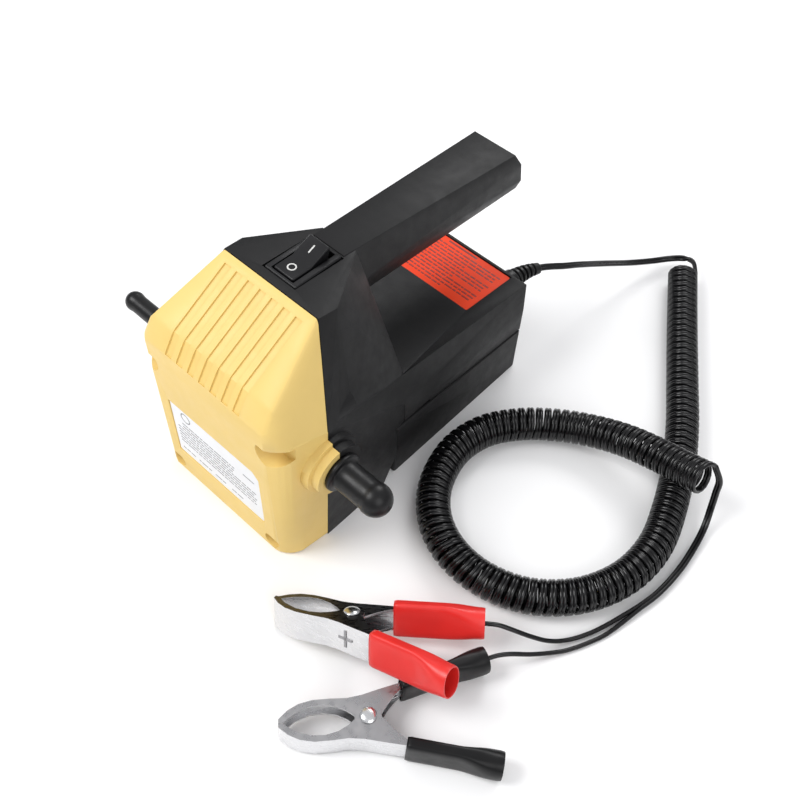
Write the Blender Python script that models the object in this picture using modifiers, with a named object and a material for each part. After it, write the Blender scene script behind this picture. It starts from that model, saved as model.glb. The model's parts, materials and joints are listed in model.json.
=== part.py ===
"""Fluid transfer pump: a 12 V gear pump in a two-colour case, with a coiled battery lead and two clamps.

Metres, +Z up, standing on Z = 0. X runs across the case, from the thin inlet (-X) to the wide outlet (+X),
and +Y runs to the rear, under the handle. Sizes below are in millimetres; point() and mm() turn them into
metres. A design Y of 0 is the parting plane between the front cover and the housing, and the frame's origin
lies ORIGIN_Y behind it, in the middle of the base.
"""

import math

import bmesh
import bpy
from mathutils import Matrix, Vector

MM = 0.001
ORIGIN_Y = 64.0
GAP = 0.3

# Case
HALF_WIDTH = 44.0
SHOULDER_Z = 78.4
TOP_Z = 120.8
TOP_Y = 11.6
PARTING_TOP_Y = 12.3
TOP_HALF_WIDTH = 26.5
WALL = 2.4
REAR_Y = 140.4
TRAY_FRONT_Y = 46.0
TRAY_TOP_FRONT, TRAY_TOP_REAR = 34.0, 26.8
FRONT_Y, FRONT_LEAN = -23.0, 3.0
CREASE_1 = (34.9, -26.0, 91.4)
CREASE_2 = (35.2, -20.3, 100.7)

# Front cover details
GROOVES, GROOVE_PITCH, GROOVE_WIDTH, GROOVE_DEPTH = 7, 6.7, 3.8, 0.8
COVER_SCREWS = {  # name: (x, z, scoop radius, seat y)
    "upper_right": (36.6, 77.6, 7.0, -16.0),
    "upper_left": (-36.6, 77.6, 7.0, -16.0),
    "lower_right": (31.5, 6.6, 4.2, -15.0),
    "lower_left": (-31.5, 6.6, 4.2, -15.0),
}
BASE_SCREWS = ((31.0, 128.0), (-31.0, 128.0))

# Pump and motor
SHAFT_Z = 34.0
SHAFT_RADIUS = 2.5
GEAR_MODULE, GEAR_TEETH, GEAR_WIDTH = 2.0, 12, 10.0
GEAR_PITCH_RADIUS = GEAR_MODULE * GEAR_TEETH / 2
GEAR_TIP_RADIUS = GEAR_PITCH_RADIUS + 0.9 * GEAR_MODULE
GEAR_ROOT_RADIUS = GEAR_PITCH_RADIUS - 1.2 * GEAR_MODULE
IDLER_Z = SHAFT_Z + 2 * GEAR_PITCH_RADIUS
NOZZLE_Z = 58.6
PUMP_FRONT_Y, PUMP_REAR_Y = -8.0, 9.0
MOTOR_FRONT_Y, MOTOR_REAR_Y, MOTOR_RADIUS = 13.0, 92.0, 22.2

# Switch
SWITCH_Y, SWITCH_Z, ROCKER_TILT = 30.0, 119.3, math.radians(12)

# Supply lead: a twin cable of two wires, wound into a curly cord
WIRE = 2.3
COIL_RADIUS = 8.2
BOOT_ROUTE = [(26.8, 140.9, 51.2), (27.5, 147.0, 51.4), (28.8, 153.5, 51.2), (30.8, 160.0, 50.4)]
LEAD_ROUTE = [
    (30.9, 160.4, 50.3), (33.4, 167.0, 48.6), (36.2, 175.6, 45.2), (38.5, 187.8, 39.6), (41.6, 210.1, 27.6),
    (45.4, 233.1, 15.4), (50.4, 250.6, 8.6), (56.0, 260.6, 8.2), (62.4, 264.8, 10.6), (68.4, 265.4, 12.4),
    (73.4, 262.8, 12.4),
]
COIL_ROUTE = [
    (69.0, 254.1, 8.3), (83.8, 230.7, 8.3), (98.8, 207.4, 8.3), (113.2, 185.4, 8.3), (127.3, 163.6, 8.3),
    (139.6, 141.6, 8.3), (150.2, 117.2, 8.3), (156.6, 95.0, 8.3), (155.8, 72.6, 8.3), (146.8, 51.6, 8.3),
    (131.0, 35.8, 8.3), (111.6, 28.2, 8.3), (92.6, 28.6, 8.3), (76.2, 36.2, 8.3), (64.0, 50.6, 8.3),
    (57.8, 70.6, 8.3), (60.0, 89.6, 8.3), (69.4, 105.4, 8.4), (82.0, 117.2, 8.9), (96.4, 124.8, 11.4),
    (114.4, 128.2, 17.2), (132.4, 127.6, 23.6), (145.2, 126.2, 28.0), (156.2, 124.8, 32.5),
]
TAIL_ROUTE = [
    (160.6, 134.2, 26.6), (162.2, 132.4, 18.0), (164.6, 129.2, 10.0), (167.0, 122.6, 4.6),
    (169.2, 110.8, 2.4), (170.6, 96.6, 2.4), (170.2, 80.4, 2.4), (167.4, 65.0, 2.4),
]
POSITIVE_ROUTE = [
    (165.6, 62.4, 2.2), (162.4, 51.2, 1.9), (158.4, 41.0, 1.9), (153.8, 32.8, 2.6), (149.2, 26.5, 5.2),
    (143.6, 21.0, 9.4), (137.6, 16.4, 13.2), (131.8, 12.5, 15.6), (127.5, 9.1, 15.7), (124.3, 6.7, 15.3),
    (121.2, 4.3, 14.9),
]
NEGATIVE_ROUTE = [
    (168.2, 61.6, 2.2), (165.4, 50.2, 1.3), (161.6, 39.6, 1.3), (157.4, 31.0, 1.5), (153.2, 24.4, 2.6),
    (147.8, 16.8, 4.8), (142.0, 9.8, 7.2), (138.4, 4.6, 8.0), (136.3, 0.3, 8.0), (134.5, -3.3, 8.0),
    (132.8, -6.9, 8.0),
]

# Battery clamps, in each clamp's own frame: +X to the handles, Z along the pivot
JAW_LENGTH, SLEEVE_LENGTH, SLEEVE_HEIGHT = 35.0, 38.0, 16.0
HANDLE_ROOT, HANDLE_ANGLE, HANDLE_HALF_DEPTH = (14.0, 11.8), math.radians(15.5), 1.2
SHEET = 1.2
CLAMPS = {  # name: place of the pivot's foot; heading, tilt and roll in degrees
    "positive": ((91.3, -32.5, 7.5), (24.3, 13.5, -29.2)),
    "negative": ((119.5, -52.3, 0.0), (48.85, 0.0, 0.0)),
}

COLOURS = {  # colour, roughness, metallic
    "yellow_plastic": ((0.93, 0.68, 0.20), 0.45, 0.0),
    "black_plastic": ((0.022, 0.022, 0.024), 0.5, 0.0),
    "black_rubber": ((0.012, 0.012, 0.013), 0.4, 0.0),
    "cable_black": ((0.008, 0.008, 0.009), 0.25, 0.0),
    "red_vinyl": ((0.78, 0.035, 0.02), 0.35, 0.0),
    "white_label": ((0.80, 0.81, 0.83), 0.5, 0.0),
    "red_label": ((0.86, 0.10, 0.03), 0.5, 0.0),
    "plated_steel": ((0.72, 0.73, 0.74), 0.25, 1.0),
    "dark_steel": ((0.30, 0.30, 0.32), 0.4, 1.0),
    "aluminium": ((0.60, 0.61, 0.62), 0.4, 1.0),
    "copper": ((0.72, 0.30, 0.14), 0.35, 1.0),
    "brass": ((0.78, 0.58, 0.25), 0.35, 1.0),
    "ferrite": ((0.05, 0.05, 0.055), 0.7, 0.0),
    "white_plastic": ((0.80, 0.80, 0.78), 0.5, 0.0),
}

PARTS = None
CUTTERS = None


def point(x, y, z):
    """A design position in millimetres as a point of the frame, in metres."""
    return Vector((x, y - ORIGIN_Y, z)) * MM


def mm(x, y, z):
    """A clamp-frame position or an offset in millimetres, in metres."""
    return Vector((x, y, z)) * MM


def start_scene():
    global PARTS, CUTTERS
    for obj in list(bpy.data.objects):
        bpy.data.objects.remove(obj)
    PARTS = bpy.data.collections.new("fluid_transfer_pump")
    CUTTERS = bpy.data.collections.new("cutters")
    for collection in (PARTS, CUTTERS):
        bpy.context.scene.collection.children.link(collection)


def material(name):
    found = bpy.data.materials.get(name)
    if found:
        return found
    colour, roughness, metallic = COLOURS[name]
    made = bpy.data.materials.new(name)
    made.use_nodes = True
    shader = made.node_tree.nodes["Principled BSDF"]
    shader.inputs["Base Color"].default_value = (*colour, 1)
    shader.inputs["Roughness"].default_value = roughness
    shader.inputs["Metallic"].default_value = metallic
    return made


def finish_object(name, data, look):
    """Links a part to its collection, or a cutter (look None) to the cutters."""
    obj = bpy.data.objects.new(name, data)
    if look is None:
        obj.hide_render = True
        obj.display_type = "WIRE"
        CUTTERS.objects.link(obj)
    else:
        data.materials.append(material(look))
        PARTS.objects.link(obj)
    return obj


def from_bmesh(name, bm, look):
    bmesh.ops.recalc_face_normals(bm, faces=bm.faces)
    mesh = bpy.data.meshes.new(name)
    bm.to_mesh(mesh)
    bm.free()
    return finish_object(name, mesh, look)


def hull_bmesh(points):
    """The convex hull of the points, with its flat faces whole."""
    bm = bmesh.new()
    for p in points:
        bm.verts.new(p)
    made = bmesh.ops.convex_hull(bm, input=bm.verts)
    spare = dict.fromkeys(made["geom_interior"] + made["geom_unused"])
    bmesh.ops.delete(bm, geom=[v for v in spare if isinstance(v, bmesh.types.BMVert)], context="VERTS")
    dissolve_flat(bm)
    return bm


def dissolve_flat(bm):
    bmesh.ops.dissolve_limit(bm, angle_limit=math.radians(0.8), verts=bm.verts, edges=bm.edges)


def block(name, low, high, look, place=point):
    """A box between two design corners."""
    low, high = place(*low), place(*high)
    bm = bmesh.new()
    bmesh.ops.create_cube(bm, size=1)
    for v in bm.verts:
        v.co = Vector([low[i] if v.co[i] < 0 else high[i] for i in range(3)])
    return from_bmesh(name, bm, look)


def rod(name, radius, start, end, look, sides=24, end_radius=None, place=point):
    """A cylinder or cone between two design points."""
    start, end = place(*start), place(*end)
    along = end - start
    bm = bmesh.new()
    bmesh.ops.create_cone(
        bm, cap_ends=True, segments=sides, radius1=radius * MM,
        radius2=(radius if end_radius is None else end_radius) * MM, depth=along.length,
    )
    turn = along.to_track_quat("Z", "Y").to_matrix().to_4x4()
    bmesh.ops.transform(bm, matrix=Matrix.Translation((start + end) / 2) @ turn, verts=bm.verts)
    return from_bmesh(name, bm, look)


def prism(name, outline, axis, low, high, look, place=point):
    """A flat outline, extruded along one axis. Its two coordinates are the other axes, in XYZ order."""
    bm = bmesh.new()
    corners = []
    for a, b in outline:
        spot = {"X": (low, a, b), "Y": (a, low, b), "Z": (a, b, low)}[axis]
        corners.append(bm.verts.new(place(*spot)))
    face = bm.faces.new(corners)
    grown = bmesh.ops.extrude_face_region(bm, geom=[face])["geom"]
    step = Vector([(high - low) * MM if name_of == axis else 0.0 for name_of in "XYZ"])
    bmesh.ops.translate(bm, vec=step, verts=[v for v in grown if isinstance(v, bmesh.types.BMVert)])
    return from_bmesh(name, bm, look)


def turned(name, profile, origin, axis, look, steps=24, place=point):
    """A profile of (radius, height) points turned about an axis through origin.

    The profile runs down its outer side, top to bottom. It closes on itself where it stays off the axis.
    """
    bm = bmesh.new()
    line = [bm.verts.new((r * MM, 0, h * MM)) for r, h in profile]
    for a, b in zip(line, line[1:]):
        bm.edges.new((a, b))
    if profile[0][0] > 0 or profile[-1][0] > 0:
        bm.edges.new((line[-1], line[0]))
    mesh = bpy.data.meshes.new(name)
    bm.to_mesh(mesh)
    bm.free()
    obj = finish_object(name, mesh, look)
    screw = obj.modifiers.new("turn", "SCREW")
    screw.steps = screw.render_steps = steps
    screw.use_merge_vertices = True
    screw.merge_threshold = 0.00001
    screw.use_smooth_shade = True
    obj.location = place(*origin)
    obj.rotation_euler = Vector(axis).to_track_quat("Z", "Y").to_euler()
    return obj


def loft(name, rings, look, caps=True):
    """A skin through rings that have the same number of points."""
    bm = bmesh.new()
    rows = [[bm.verts.new(p) for p in ring] for ring in rings]
    for one, two in zip(rows, rows[1:]):
        for i in range(len(one)):
            j = (i + 1) % len(one)
            bm.faces.new((one[i], one[j], two[j], two[i]))
    if caps:
        bm.faces.new(rows[0])
        bm.faces.new(rows[-1])
    return from_bmesh(name, bm, look)


def combine(obj, other, operation):
    """Cuts or joins obj with other, which becomes a helper. The last Boolean sees all that came before."""
    if other.name not in CUTTERS.objects:
        PARTS.objects.unlink(other)
        CUTTERS.objects.link(other)
        other.hide_render = True
        other.display_type = "WIRE"
    boolean = obj.modifiers.new(f"{operation.lower()} {other.name}", "BOOLEAN")
    boolean.operation = operation
    boolean.solver = "EXACT"
    boolean.object = other


def cut(obj, *others):
    for other in others:
        combine(obj, other, "DIFFERENCE")


def join(obj, *others):
    for other in others:
        combine(obj, other, "UNION")


def round_edges(obj, width, segments=2, angle=25):
    bevel = obj.modifiers.new("rounded edges", "BEVEL")
    bevel.width = width * MM
    bevel.segments = segments
    bevel.limit_method = "ANGLE"
    bevel.angle_limit = math.radians(angle)


def smooth(obj, angle=30):
    obj.data.shade_smooth()
    obj.data.set_sharp_from_angle(angle=math.radians(angle))


def pivot(name, location, children, rotation=None):
    """An empty on a joint's axis, with the pieces that turn about it."""
    empty = bpy.data.objects.new(name, None)
    empty.location = location
    if rotation is not None:
        empty.rotation_euler = rotation
    PARTS.objects.link(empty)
    bpy.context.view_layer.update()
    for child in children:
        child.parent = empty
        child.matrix_parent_inverse = empty.matrix_world.inverted()
    return empty


def smooth_route(route, spacing):
    """Points every spacing mm along a smooth curve through the route."""
    knots = [Vector(p) for p in route]
    knots = [2 * knots[0] - knots[1], *knots, 2 * knots[-1] - knots[-2]]
    fine = []
    for a, b, c, d in zip(knots, knots[1:], knots[2:], knots[3:]):
        for i in range(24):
            t = i / 24
            fine.append(
                0.5 * (2 * b + (c - a) * t + (2 * a - 5 * b + 4 * c - d) * t**2 + (3 * b - a - 3 * c + d) * t**3)
            )
    fine.append(knots[-2])
    total = sum((q - p).length for p, q in zip(fine, fine[1:]))
    count = max(2, round(total / spacing))
    out, walked, target = [fine[0]], 0.0, total / count
    for p, q in zip(fine, fine[1:]):
        step = (q - p).length
        while walked + step >= target and len(out) < count:
            out.append(p.lerp(q, (target - walked) / step))
            target += total / count
        walked += step
    return out + [fine[-1]]


def tube(name, points, radius, look, resolution=2):
    """A round tube along points in metres: a poly spline with filled caps."""
    curve = bpy.data.curves.new(name, "CURVE")
    curve.dimensions = "3D"
    curve.bevel_depth = radius * MM
    curve.bevel_resolution = resolution
    curve.use_fill_caps = True
    spline = curve.splines.new("POLY")
    spline.points.add(len(points) - 1)
    for knot, p in zip(spline.points, points):
        knot.co = (*p, 1)
    return finish_object(name, curve, look)


# The case


def head_points(inset=0.0):
    """Half of the head's corners, mirrored: the cover in front and the housing's head behind."""
    corners = [
        (TOP_HALF_WIDTH, TOP_Y, TOP_Z), CREASE_1, CREASE_2, (HALF_WIDTH + 0.3, 0, SHOULDER_Z - 0.6),
        (HALF_WIDTH, 0, 0), (27.0, 22.0, 119.9), (9.6, 50.0, 119.2), (12.0, 53.0, 92.6), (36.0, 54.0, 62.0),
        (39.2, 56.0, 44.0), (43.4, 45.0, 17.0), (43.4, 37.0, 0.0),
    ]
    for i in range(7):  # the rounded front corner, rising to the side facet
        turn = math.radians(15 + 60 * i / 6)
        x, y = 30.6 + 12.5 * math.sin(turn), -10.5 - 12.5 * math.cos(turn)
        lean = FRONT_LEAN * (1 - i / 6)
        corners.append((x, y, 0.0))
        corners.append((x + 1.5 * (i < 5), y - lean, CREASE_1[2] - (CREASE_1[2] - SHOULDER_Z) * (i / 6) ** 1.4))
    middle = Vector((0, 14.0, 60.0))
    half = Vector((HALF_WIDTH, 40.0, 60.0))
    out = []
    for x, y, z in corners:
        spot = Vector((x, y, z))
        if inset:
            spot = Vector([middle[i] + (spot[i] - middle[i]) * (1 - inset / half[i]) for i in range(3)])
        out += [point(*spot), point(-spot.x, spot.y, spot.z)]
    return out


def parting_block(side):
    """What the other half takes: all behind the parting line (side 1) or in front (side -1), and half a gap."""
    shift = -side * GAP / 2
    far = side * 300
    slope = PARTING_TOP_Y / (TOP_Z - SHOULDER_Z)
    line = [(shift, -50), (shift, SHOULDER_Z), (shift + slope * (200 - SHOULDER_Z), 200), (far, 200), (far, -50)]
    return prism("behind_parting" if side > 0 else "before_parting", line, "X", -200, 200, None)


def front_plane_matrix(z):
    """A frame on the leaning front face: X across, Y up the face, Z out of it."""
    y = FRONT_Y - FRONT_LEAN * z / CREASE_1[2]
    lean = math.atan2(FRONT_LEAN, CREASE_1[2])
    return Matrix.Translation(point(0, y, z)) @ Matrix.Rotation(math.pi / 2 + lean, 4, "X")


def label_outline(half_width, half_height, clip):
    return [
        (-half_width, -half_height), (half_width, -half_height), (half_width, half_height - clip),
        (half_width - clip, half_height), (-half_width, half_height),
    ]


def flat_plate(name, outline, low, high, frame, look):
    obj = prism(name, outline, "Z", low, high, look, place=mm)
    obj.data.transform(frame)
    return obj


def front_cover():
    cover = from_bmesh("front_cover", hull_bmesh(head_points()), "yellow_plastic")
    round_edges(cover, 1.6)
    cut(cover, parting_block(side=1))
    cut(cover, from_bmesh("cover_void", hull_bmesh(head_points(WALL)), None))
    head = from_bmesh("head_form", hull_bmesh(head_points(0.6)), None)
    for name, (x, z, radius, seat_y) in COVER_SCREWS.items():
        boss = rod(f"{name}_boss", radius + 2.7, (x, FRONT_Y - 2, z), (x, seat_y + 5, z), None, sides=28)
        inside = boss.modifiers.new("inside", "BOOLEAN")
        inside.operation, inside.object = "INTERSECT", head
        join(cover, boss)
    for name, (x, z, radius, seat_y) in COVER_SCREWS.items():
        scoop = rod(f"{name}_scoop", radius, (x, FRONT_Y - 8, z), (x, seat_y, z), None, sides=28)
        lid = block(f"{name}_lid", (x - 20, FRONT_Y - 9, z + 3.6), (x + 20, seat_y + 1, z + 20), None)
        combine(scoop, lid, "DIFFERENCE")
        hole = rod(f"{name}_hole", 1.7, (x, seat_y - 1, z), (x, seat_y + 7, z), None, sides=16)
        cut(cover, scoop, hole)
    first = -GROOVE_PITCH * (GROOVES - 1) / 2
    for i in range(GROOVES):
        middle = first + i * GROOVE_PITCH
        low, high = middle - GROOVE_WIDTH / 2, middle + GROOVE_WIDTH / 2
        cut(cover, prism(f"groove_{i + 1}", groove_section(), "X", low, high, None))
    outline = label_outline(28.4, 18.6, 3.4)
    cut(cover, flat_plate("label_recess", outline, -0.8, 3.0, front_plane_matrix(37.2), None))
    for side in (-1, 1):
        join(cover, nozzle_boss("front", side, front=True))
        cut(cover, nozzle_hole("front", side))
    return cover


def groove_section():
    """The groove's outline in Y and Z, up the steep facet and then the gentle one."""
    _, y1, z1 = CREASE_1
    _, y2, z2 = CREASE_2
    top_share = 0.9
    y3, z3 = y2 + (TOP_Y - y2) * top_share, z2 + (TOP_Z - z2) * top_share
    gentle = Vector((-(TOP_Z - z2), TOP_Y - y2)).normalized()
    steep = Vector((-(z2 - z1), y2 - y1)).normalized()
    bend = (gentle + steep).normalized()
    ridge = [(y1, z1, steep), (y2, z2, bend), (y3, z3, gentle)]
    outer = [(y + n.x * 2, z + n.y * 2) for y, z, n in ridge]
    inner = [(y - n.x * GROOVE_DEPTH, z - n.y * GROOVE_DEPTH) for y, z, n in ridge]
    return outer + inner[::-1]


def nozzle_boss(name, side, front):
    """Half of the stepped collar round a nozzle, on one side of the parting plane."""
    large = side > 0
    steps = ((14.4, 47.0), (12.3, 51.0)) if large else ((11.2, 46.6), (9.2, 50.0))
    root = HALF_WIDTH - WALL / 2
    profile = [(0, steps[1][1]), (steps[1][0], steps[1][1]), (steps[1][0], steps[0][1])]
    profile += [(steps[0][0], steps[0][1]), (steps[0][0], root), (0, root)]
    boss = turned(f"{name}_boss_{'right' if large else 'left'}", profile, (0, 0, NOZZLE_Z), (side, 0, 0), None, 40)
    far = 40 if front else -40
    low_y, high_y = sorted((-GAP / 2 if front else GAP / 2, far))
    half = block(f"{boss.name}_half", (-70, low_y, 20), (70, high_y, 100), None)
    combine(boss, half, "DIFFERENCE")
    return boss


def nozzle_hole(name, side):
    radius, start, end = (8.6 if side > 0 else 6.2), (side * 30, 0, NOZZLE_Z), (side * 60, 0, NOZZLE_Z)
    return rod(f"{name}_nozzle_hole_{side}", radius, start, end, None, sides=32)


def rear_points(low_front, low_rear, inset=0.0, front=52.0):
    """The rear body's corners above its seam, mirrored."""
    rear = REAR_Y - inset
    corners = [
        (36.4 - inset, front, 62.0 - inset), (40.0 - inset, front, 44.2), (41.0 - inset, front, low_front),
        (37.4 - inset, rear, 57.2 - inset), (38.6 - inset, rear, 41.2), (38.8 - inset, rear, low_rear),
    ]
    return [point(side * x, y, z) for x, y, z in corners for side in (-1, 1)]


def handle_points(inset=0.0):
    """The grip: a flat top, sides that lean out and a tucked-in underside, widening to its free end."""
    end = inset
    corners = [
        (8.6 - inset, 44.0, 119.8 - inset), (12.0 - inset, 44.0, 103.0), (9.6 - inset, 44.0, 93.4 - 3 * inset),
        (12.0 - inset, 150.2 - end, 114.3 - inset), (14.0 - inset, 153.4 - end, 108.6 - inset),
        (14.2 - inset, 155.2 - end, 98.4), (12.4 - inset, 154.6 - end, 93.2 - 3 * inset),
    ]
    return [point(side * x, y, z) for x, y, z in corners for side in (-1, 1)]


def upper_housing():
    housing = from_bmesh("upper_housing", hull_bmesh(head_points()), "black_plastic")
    rear = from_bmesh("rear_form", hull_bmesh(rear_points(TRAY_TOP_FRONT, TRAY_TOP_REAR)), None)
    grip = from_bmesh("grip_form", hull_bmesh(handle_points()), None)
    join(housing, rear, grip)
    round_edges(housing, 1.2, angle=20)
    cut(housing, parting_block(side=-1))
    head_void = from_bmesh("head_void", hull_bmesh(head_points(WALL)), None)
    seam_reach = 6
    low_front, low_rear = TRAY_TOP_FRONT - seam_reach, TRAY_TOP_REAR - seam_reach
    rear_void = from_bmesh("rear_void", hull_bmesh(rear_points(low_front, low_rear, WALL, front=40.0)), None)
    grip_void = from_bmesh("grip_void", hull_bmesh(handle_points(WALL)), None)
    keep = block("grip_void_end", (-30, 20, 60), (30, 62, 140), None)
    combine(grip_void, keep, "DIFFERENCE")
    cut(housing, head_void, rear_void, grip_void)
    for name, (x, z, _, _) in COVER_SCREWS.items():
        radius = 5.6 if z > 20 else 5.0
        join(housing, rod(f"{name}_post", radius, (x, 1, z), (x, 18, z), None, sides=20))
        cut(housing, rod(f"{name}_pilot", 1.7, (x, -2, z), (x, 15, z), None, sides=12))
    for i, (x, y) in enumerate(BASE_SCREWS):
        join(housing, rod(f"base_post_{i + 1}", 3.8, (x, y, 8), (x, y, 57), None, sides=16))
        cut(housing, rod(f"base_pilot_{i + 1}", 1.7, (x, y, 4), (x, y, 20), None, sides=12))
    pocket = block("switch_pocket", (-9.4, 16.6, 118.2), (9.4, 43.2, 126), None)
    window = block("switch_window", (-7.2, 18.6, 108), (7.2, 41.4, 121), None)
    cut(housing, pocket, window)
    cut(housing, flat_plate("rear_label_recess", rear_label_outline(0.4), -0.8, 4, rear_top_matrix(), None))
    cut(housing, rod("cable_hole", 2.9, (26.8, 130, 51.2), (26.8, 144, 51.2), None, sides=20))
    for side in (-1, 1):
        join(housing, nozzle_boss("rear", side, front=False))
        cut(housing, nozzle_hole("rear", side))
    return housing


def rear_top_matrix():
    """A frame on the sloping top of the rear body: X across, Y to the rear, Z out of it."""
    slope = math.atan2(57.2 - 62.0, REAR_Y - 52.0)
    y = 122.0
    z = 62.0 + math.tan(slope) * (y - 52.0)
    return Matrix.Translation(point(0, y, z)) @ Matrix.Rotation(slope, 4, "X")


def rear_label_outline(grow=0.0):
    half_width, half_depth = 28.8 + grow, 16.6 + grow
    return [(-half_width, -half_depth), (half_width, -half_depth), (half_width, half_depth), (-half_width, half_depth)]


def base_tray():
    proud = 0.7
    corners = [
        (41.3 + proud, TRAY_FRONT_Y, 0.0), (41.3 + proud, TRAY_FRONT_Y, TRAY_TOP_FRONT - GAP),
        (39.1 + proud, REAR_Y, 0.0), (38.6 + proud, REAR_Y, TRAY_TOP_REAR - GAP),
    ]
    outside = [point(side * x, y, z) for x, y, z in corners for side in (-1, 1)]
    tray = from_bmesh("base_tray", hull_bmesh(outside), "black_plastic")
    round_edges(tray, 1.0)
    inside = []
    for x, y, z in corners:
        deep = y + (WALL if y < 100 else -WALL)
        for side in (-1, 1):
            inside += [point(side * (x - WALL), deep, WALL), point(side * (x - WALL), deep, 50)]
    cut(tray, from_bmesh("tray_void", hull_bmesh(inside), None))
    for i, y in enumerate((54.0, 80.0)):
        join(tray, block(f"cradle_{i + 1}", (-20, y, WALL / 2), (20, y + 3, 22), None))
    cut(tray, rod("cradle_bed", MOTOR_RADIUS + 0.5, (0, 40, SHAFT_Z), (0, 95, SHAFT_Z), None, sides=48))
    for i, (x, y) in enumerate(BASE_SCREWS):
        join(tray, rod(f"tray_boss_{i + 1}", 4.6, (x, y, 1), (x, y, 7.6), None, sides=16))
    for i, (x, y) in enumerate(BASE_SCREWS):
        cut(tray, rod(f"tray_hole_{i + 1}", 1.7, (x, y, -2), (x, y, 10), None, sides=12))
        cut(tray, rod(f"tray_counterbore_{i + 1}", 3.4, (x, y, -2), (x, y, 4), None, sides=16))
    return tray


def trim_housing_for_tray(housing):
    """Opens the head's back below the seam, where the tray slides in."""
    low, high = (-60, TRAY_FRONT_Y - GAP, -5), (60, 70, TRAY_TOP_FRONT + 0.2)
    cut(housing, block("tray_notch", low, high, None))
    cut(housing, block("head_back_opening", (-34, 40, SHAFT_Z), (34, 60, 58), None))
    cut(housing, rod("motor_opening", MOTOR_RADIUS + 0.6, (0, 30, SHAFT_Z), (0, 60, SHAFT_Z), None, sides=48))


def labels():
    front = label_outline(28.0, 18.2, 3.2)
    flat_plate("front_label", front, -0.5, -0.05, front_plane_matrix(37.2), "white_label")
    flat_plate("rear_label", rear_label_outline(), -0.5, -0.05, rear_top_matrix(), "red_label")


def handle_underside():
    """The strip that closes the hollow grip from below."""
    corners = [(6.7, 62.6), (9.7, 151.6)]
    outline = [(corners[0][0], corners[0][1]), (corners[1][0], corners[1][1])]
    outline += [(-corners[1][0], corners[1][1]), (-corners[0][0], corners[0][1])]
    prism("handle_underside", outline, "Z", 94.2, 95.8, "black_plastic")


# The switch


def switch():
    body = block("switch_body", (-6.9, 19.0, 99.0), (6.9, 41.0, 117.0), "black_plastic")
    cut(body, block("switch_well", (-5.8, 20.2, 107.0), (5.8, 39.8, 118.0), None))
    bezel = block("switch_bezel", (-8.9, 17.2, 118.5), (8.9, 42.6, 120.7), "black_plastic")
    round_edges(bezel, 0.5, segments=1)
    cut(bezel, block("bezel_window", (-6.2, 18.6, 117), (6.2, 41.4, 122), None))
    half = 10.3
    profile = [(-half, 4.3), (-0.6, 2.2), (half, 4.6), (half + 0.1, 2.4)]
    for i in range(1, 6):
        turn = math.radians(-20 - 140 * i / 6)
        profile.append((9.0 * math.cos(turn), 9.0 * math.sin(turn) * 0.75))
    profile.append((-half - 0.1, 2.0))
    rocker = prism("rocker", profile, "X", -5.5, 5.5, "black_plastic", place=mm)
    rocker.data.transform(Matrix.Translation(point(0, SWITCH_Y, SWITCH_Z)) @ Matrix.Rotation(ROCKER_TILT, 4, "X"))
    round_edges(rocker, 0.5, segments=1, angle=40)
    pivot("rocker_axis", point(0, SWITCH_Y, SWITCH_Z), [rocker])
    for i, y in enumerate((24.0, 36.0)):
        low, high = (-3.1, y - 0.4, 90.0), (3.1, y + 0.4, 98.7)
        block(f"switch_terminal_{i + 1}", low, high, "brass")


# The pump


def gear_outline(phase):
    """A spur gear's outline, with four points on each tooth."""
    outline = []
    step = 2 * math.pi / GEAR_TEETH
    for i in range(GEAR_TEETH):
        middle = phase + i * step
        for turn, radius in (
            (-0.33, GEAR_ROOT_RADIUS), (-0.225, GEAR_PITCH_RADIUS), (-0.11, GEAR_TIP_RADIUS),
            (0.11, GEAR_TIP_RADIUS), (0.225, GEAR_PITCH_RADIUS), (0.33, GEAR_ROOT_RADIUS),
        ):
            angle = middle + turn * step
            outline.append((radius * math.cos(angle), radius * math.sin(angle)))
    return outline


def gear(name, centre_z, phase):
    outline = [(x, centre_z + z) for x, z in gear_outline(phase)]
    start = PUMP_FRONT_Y + 0.3
    wheel = prism(name, outline, "Y", start, start + GEAR_WIDTH, "dark_steel")
    cut(wheel, rod(f"{name}_bore", SHAFT_RADIUS + GAP, (0, start - 1, centre_z), (0, start + 12, centre_z), None))
    return wheel


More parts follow.
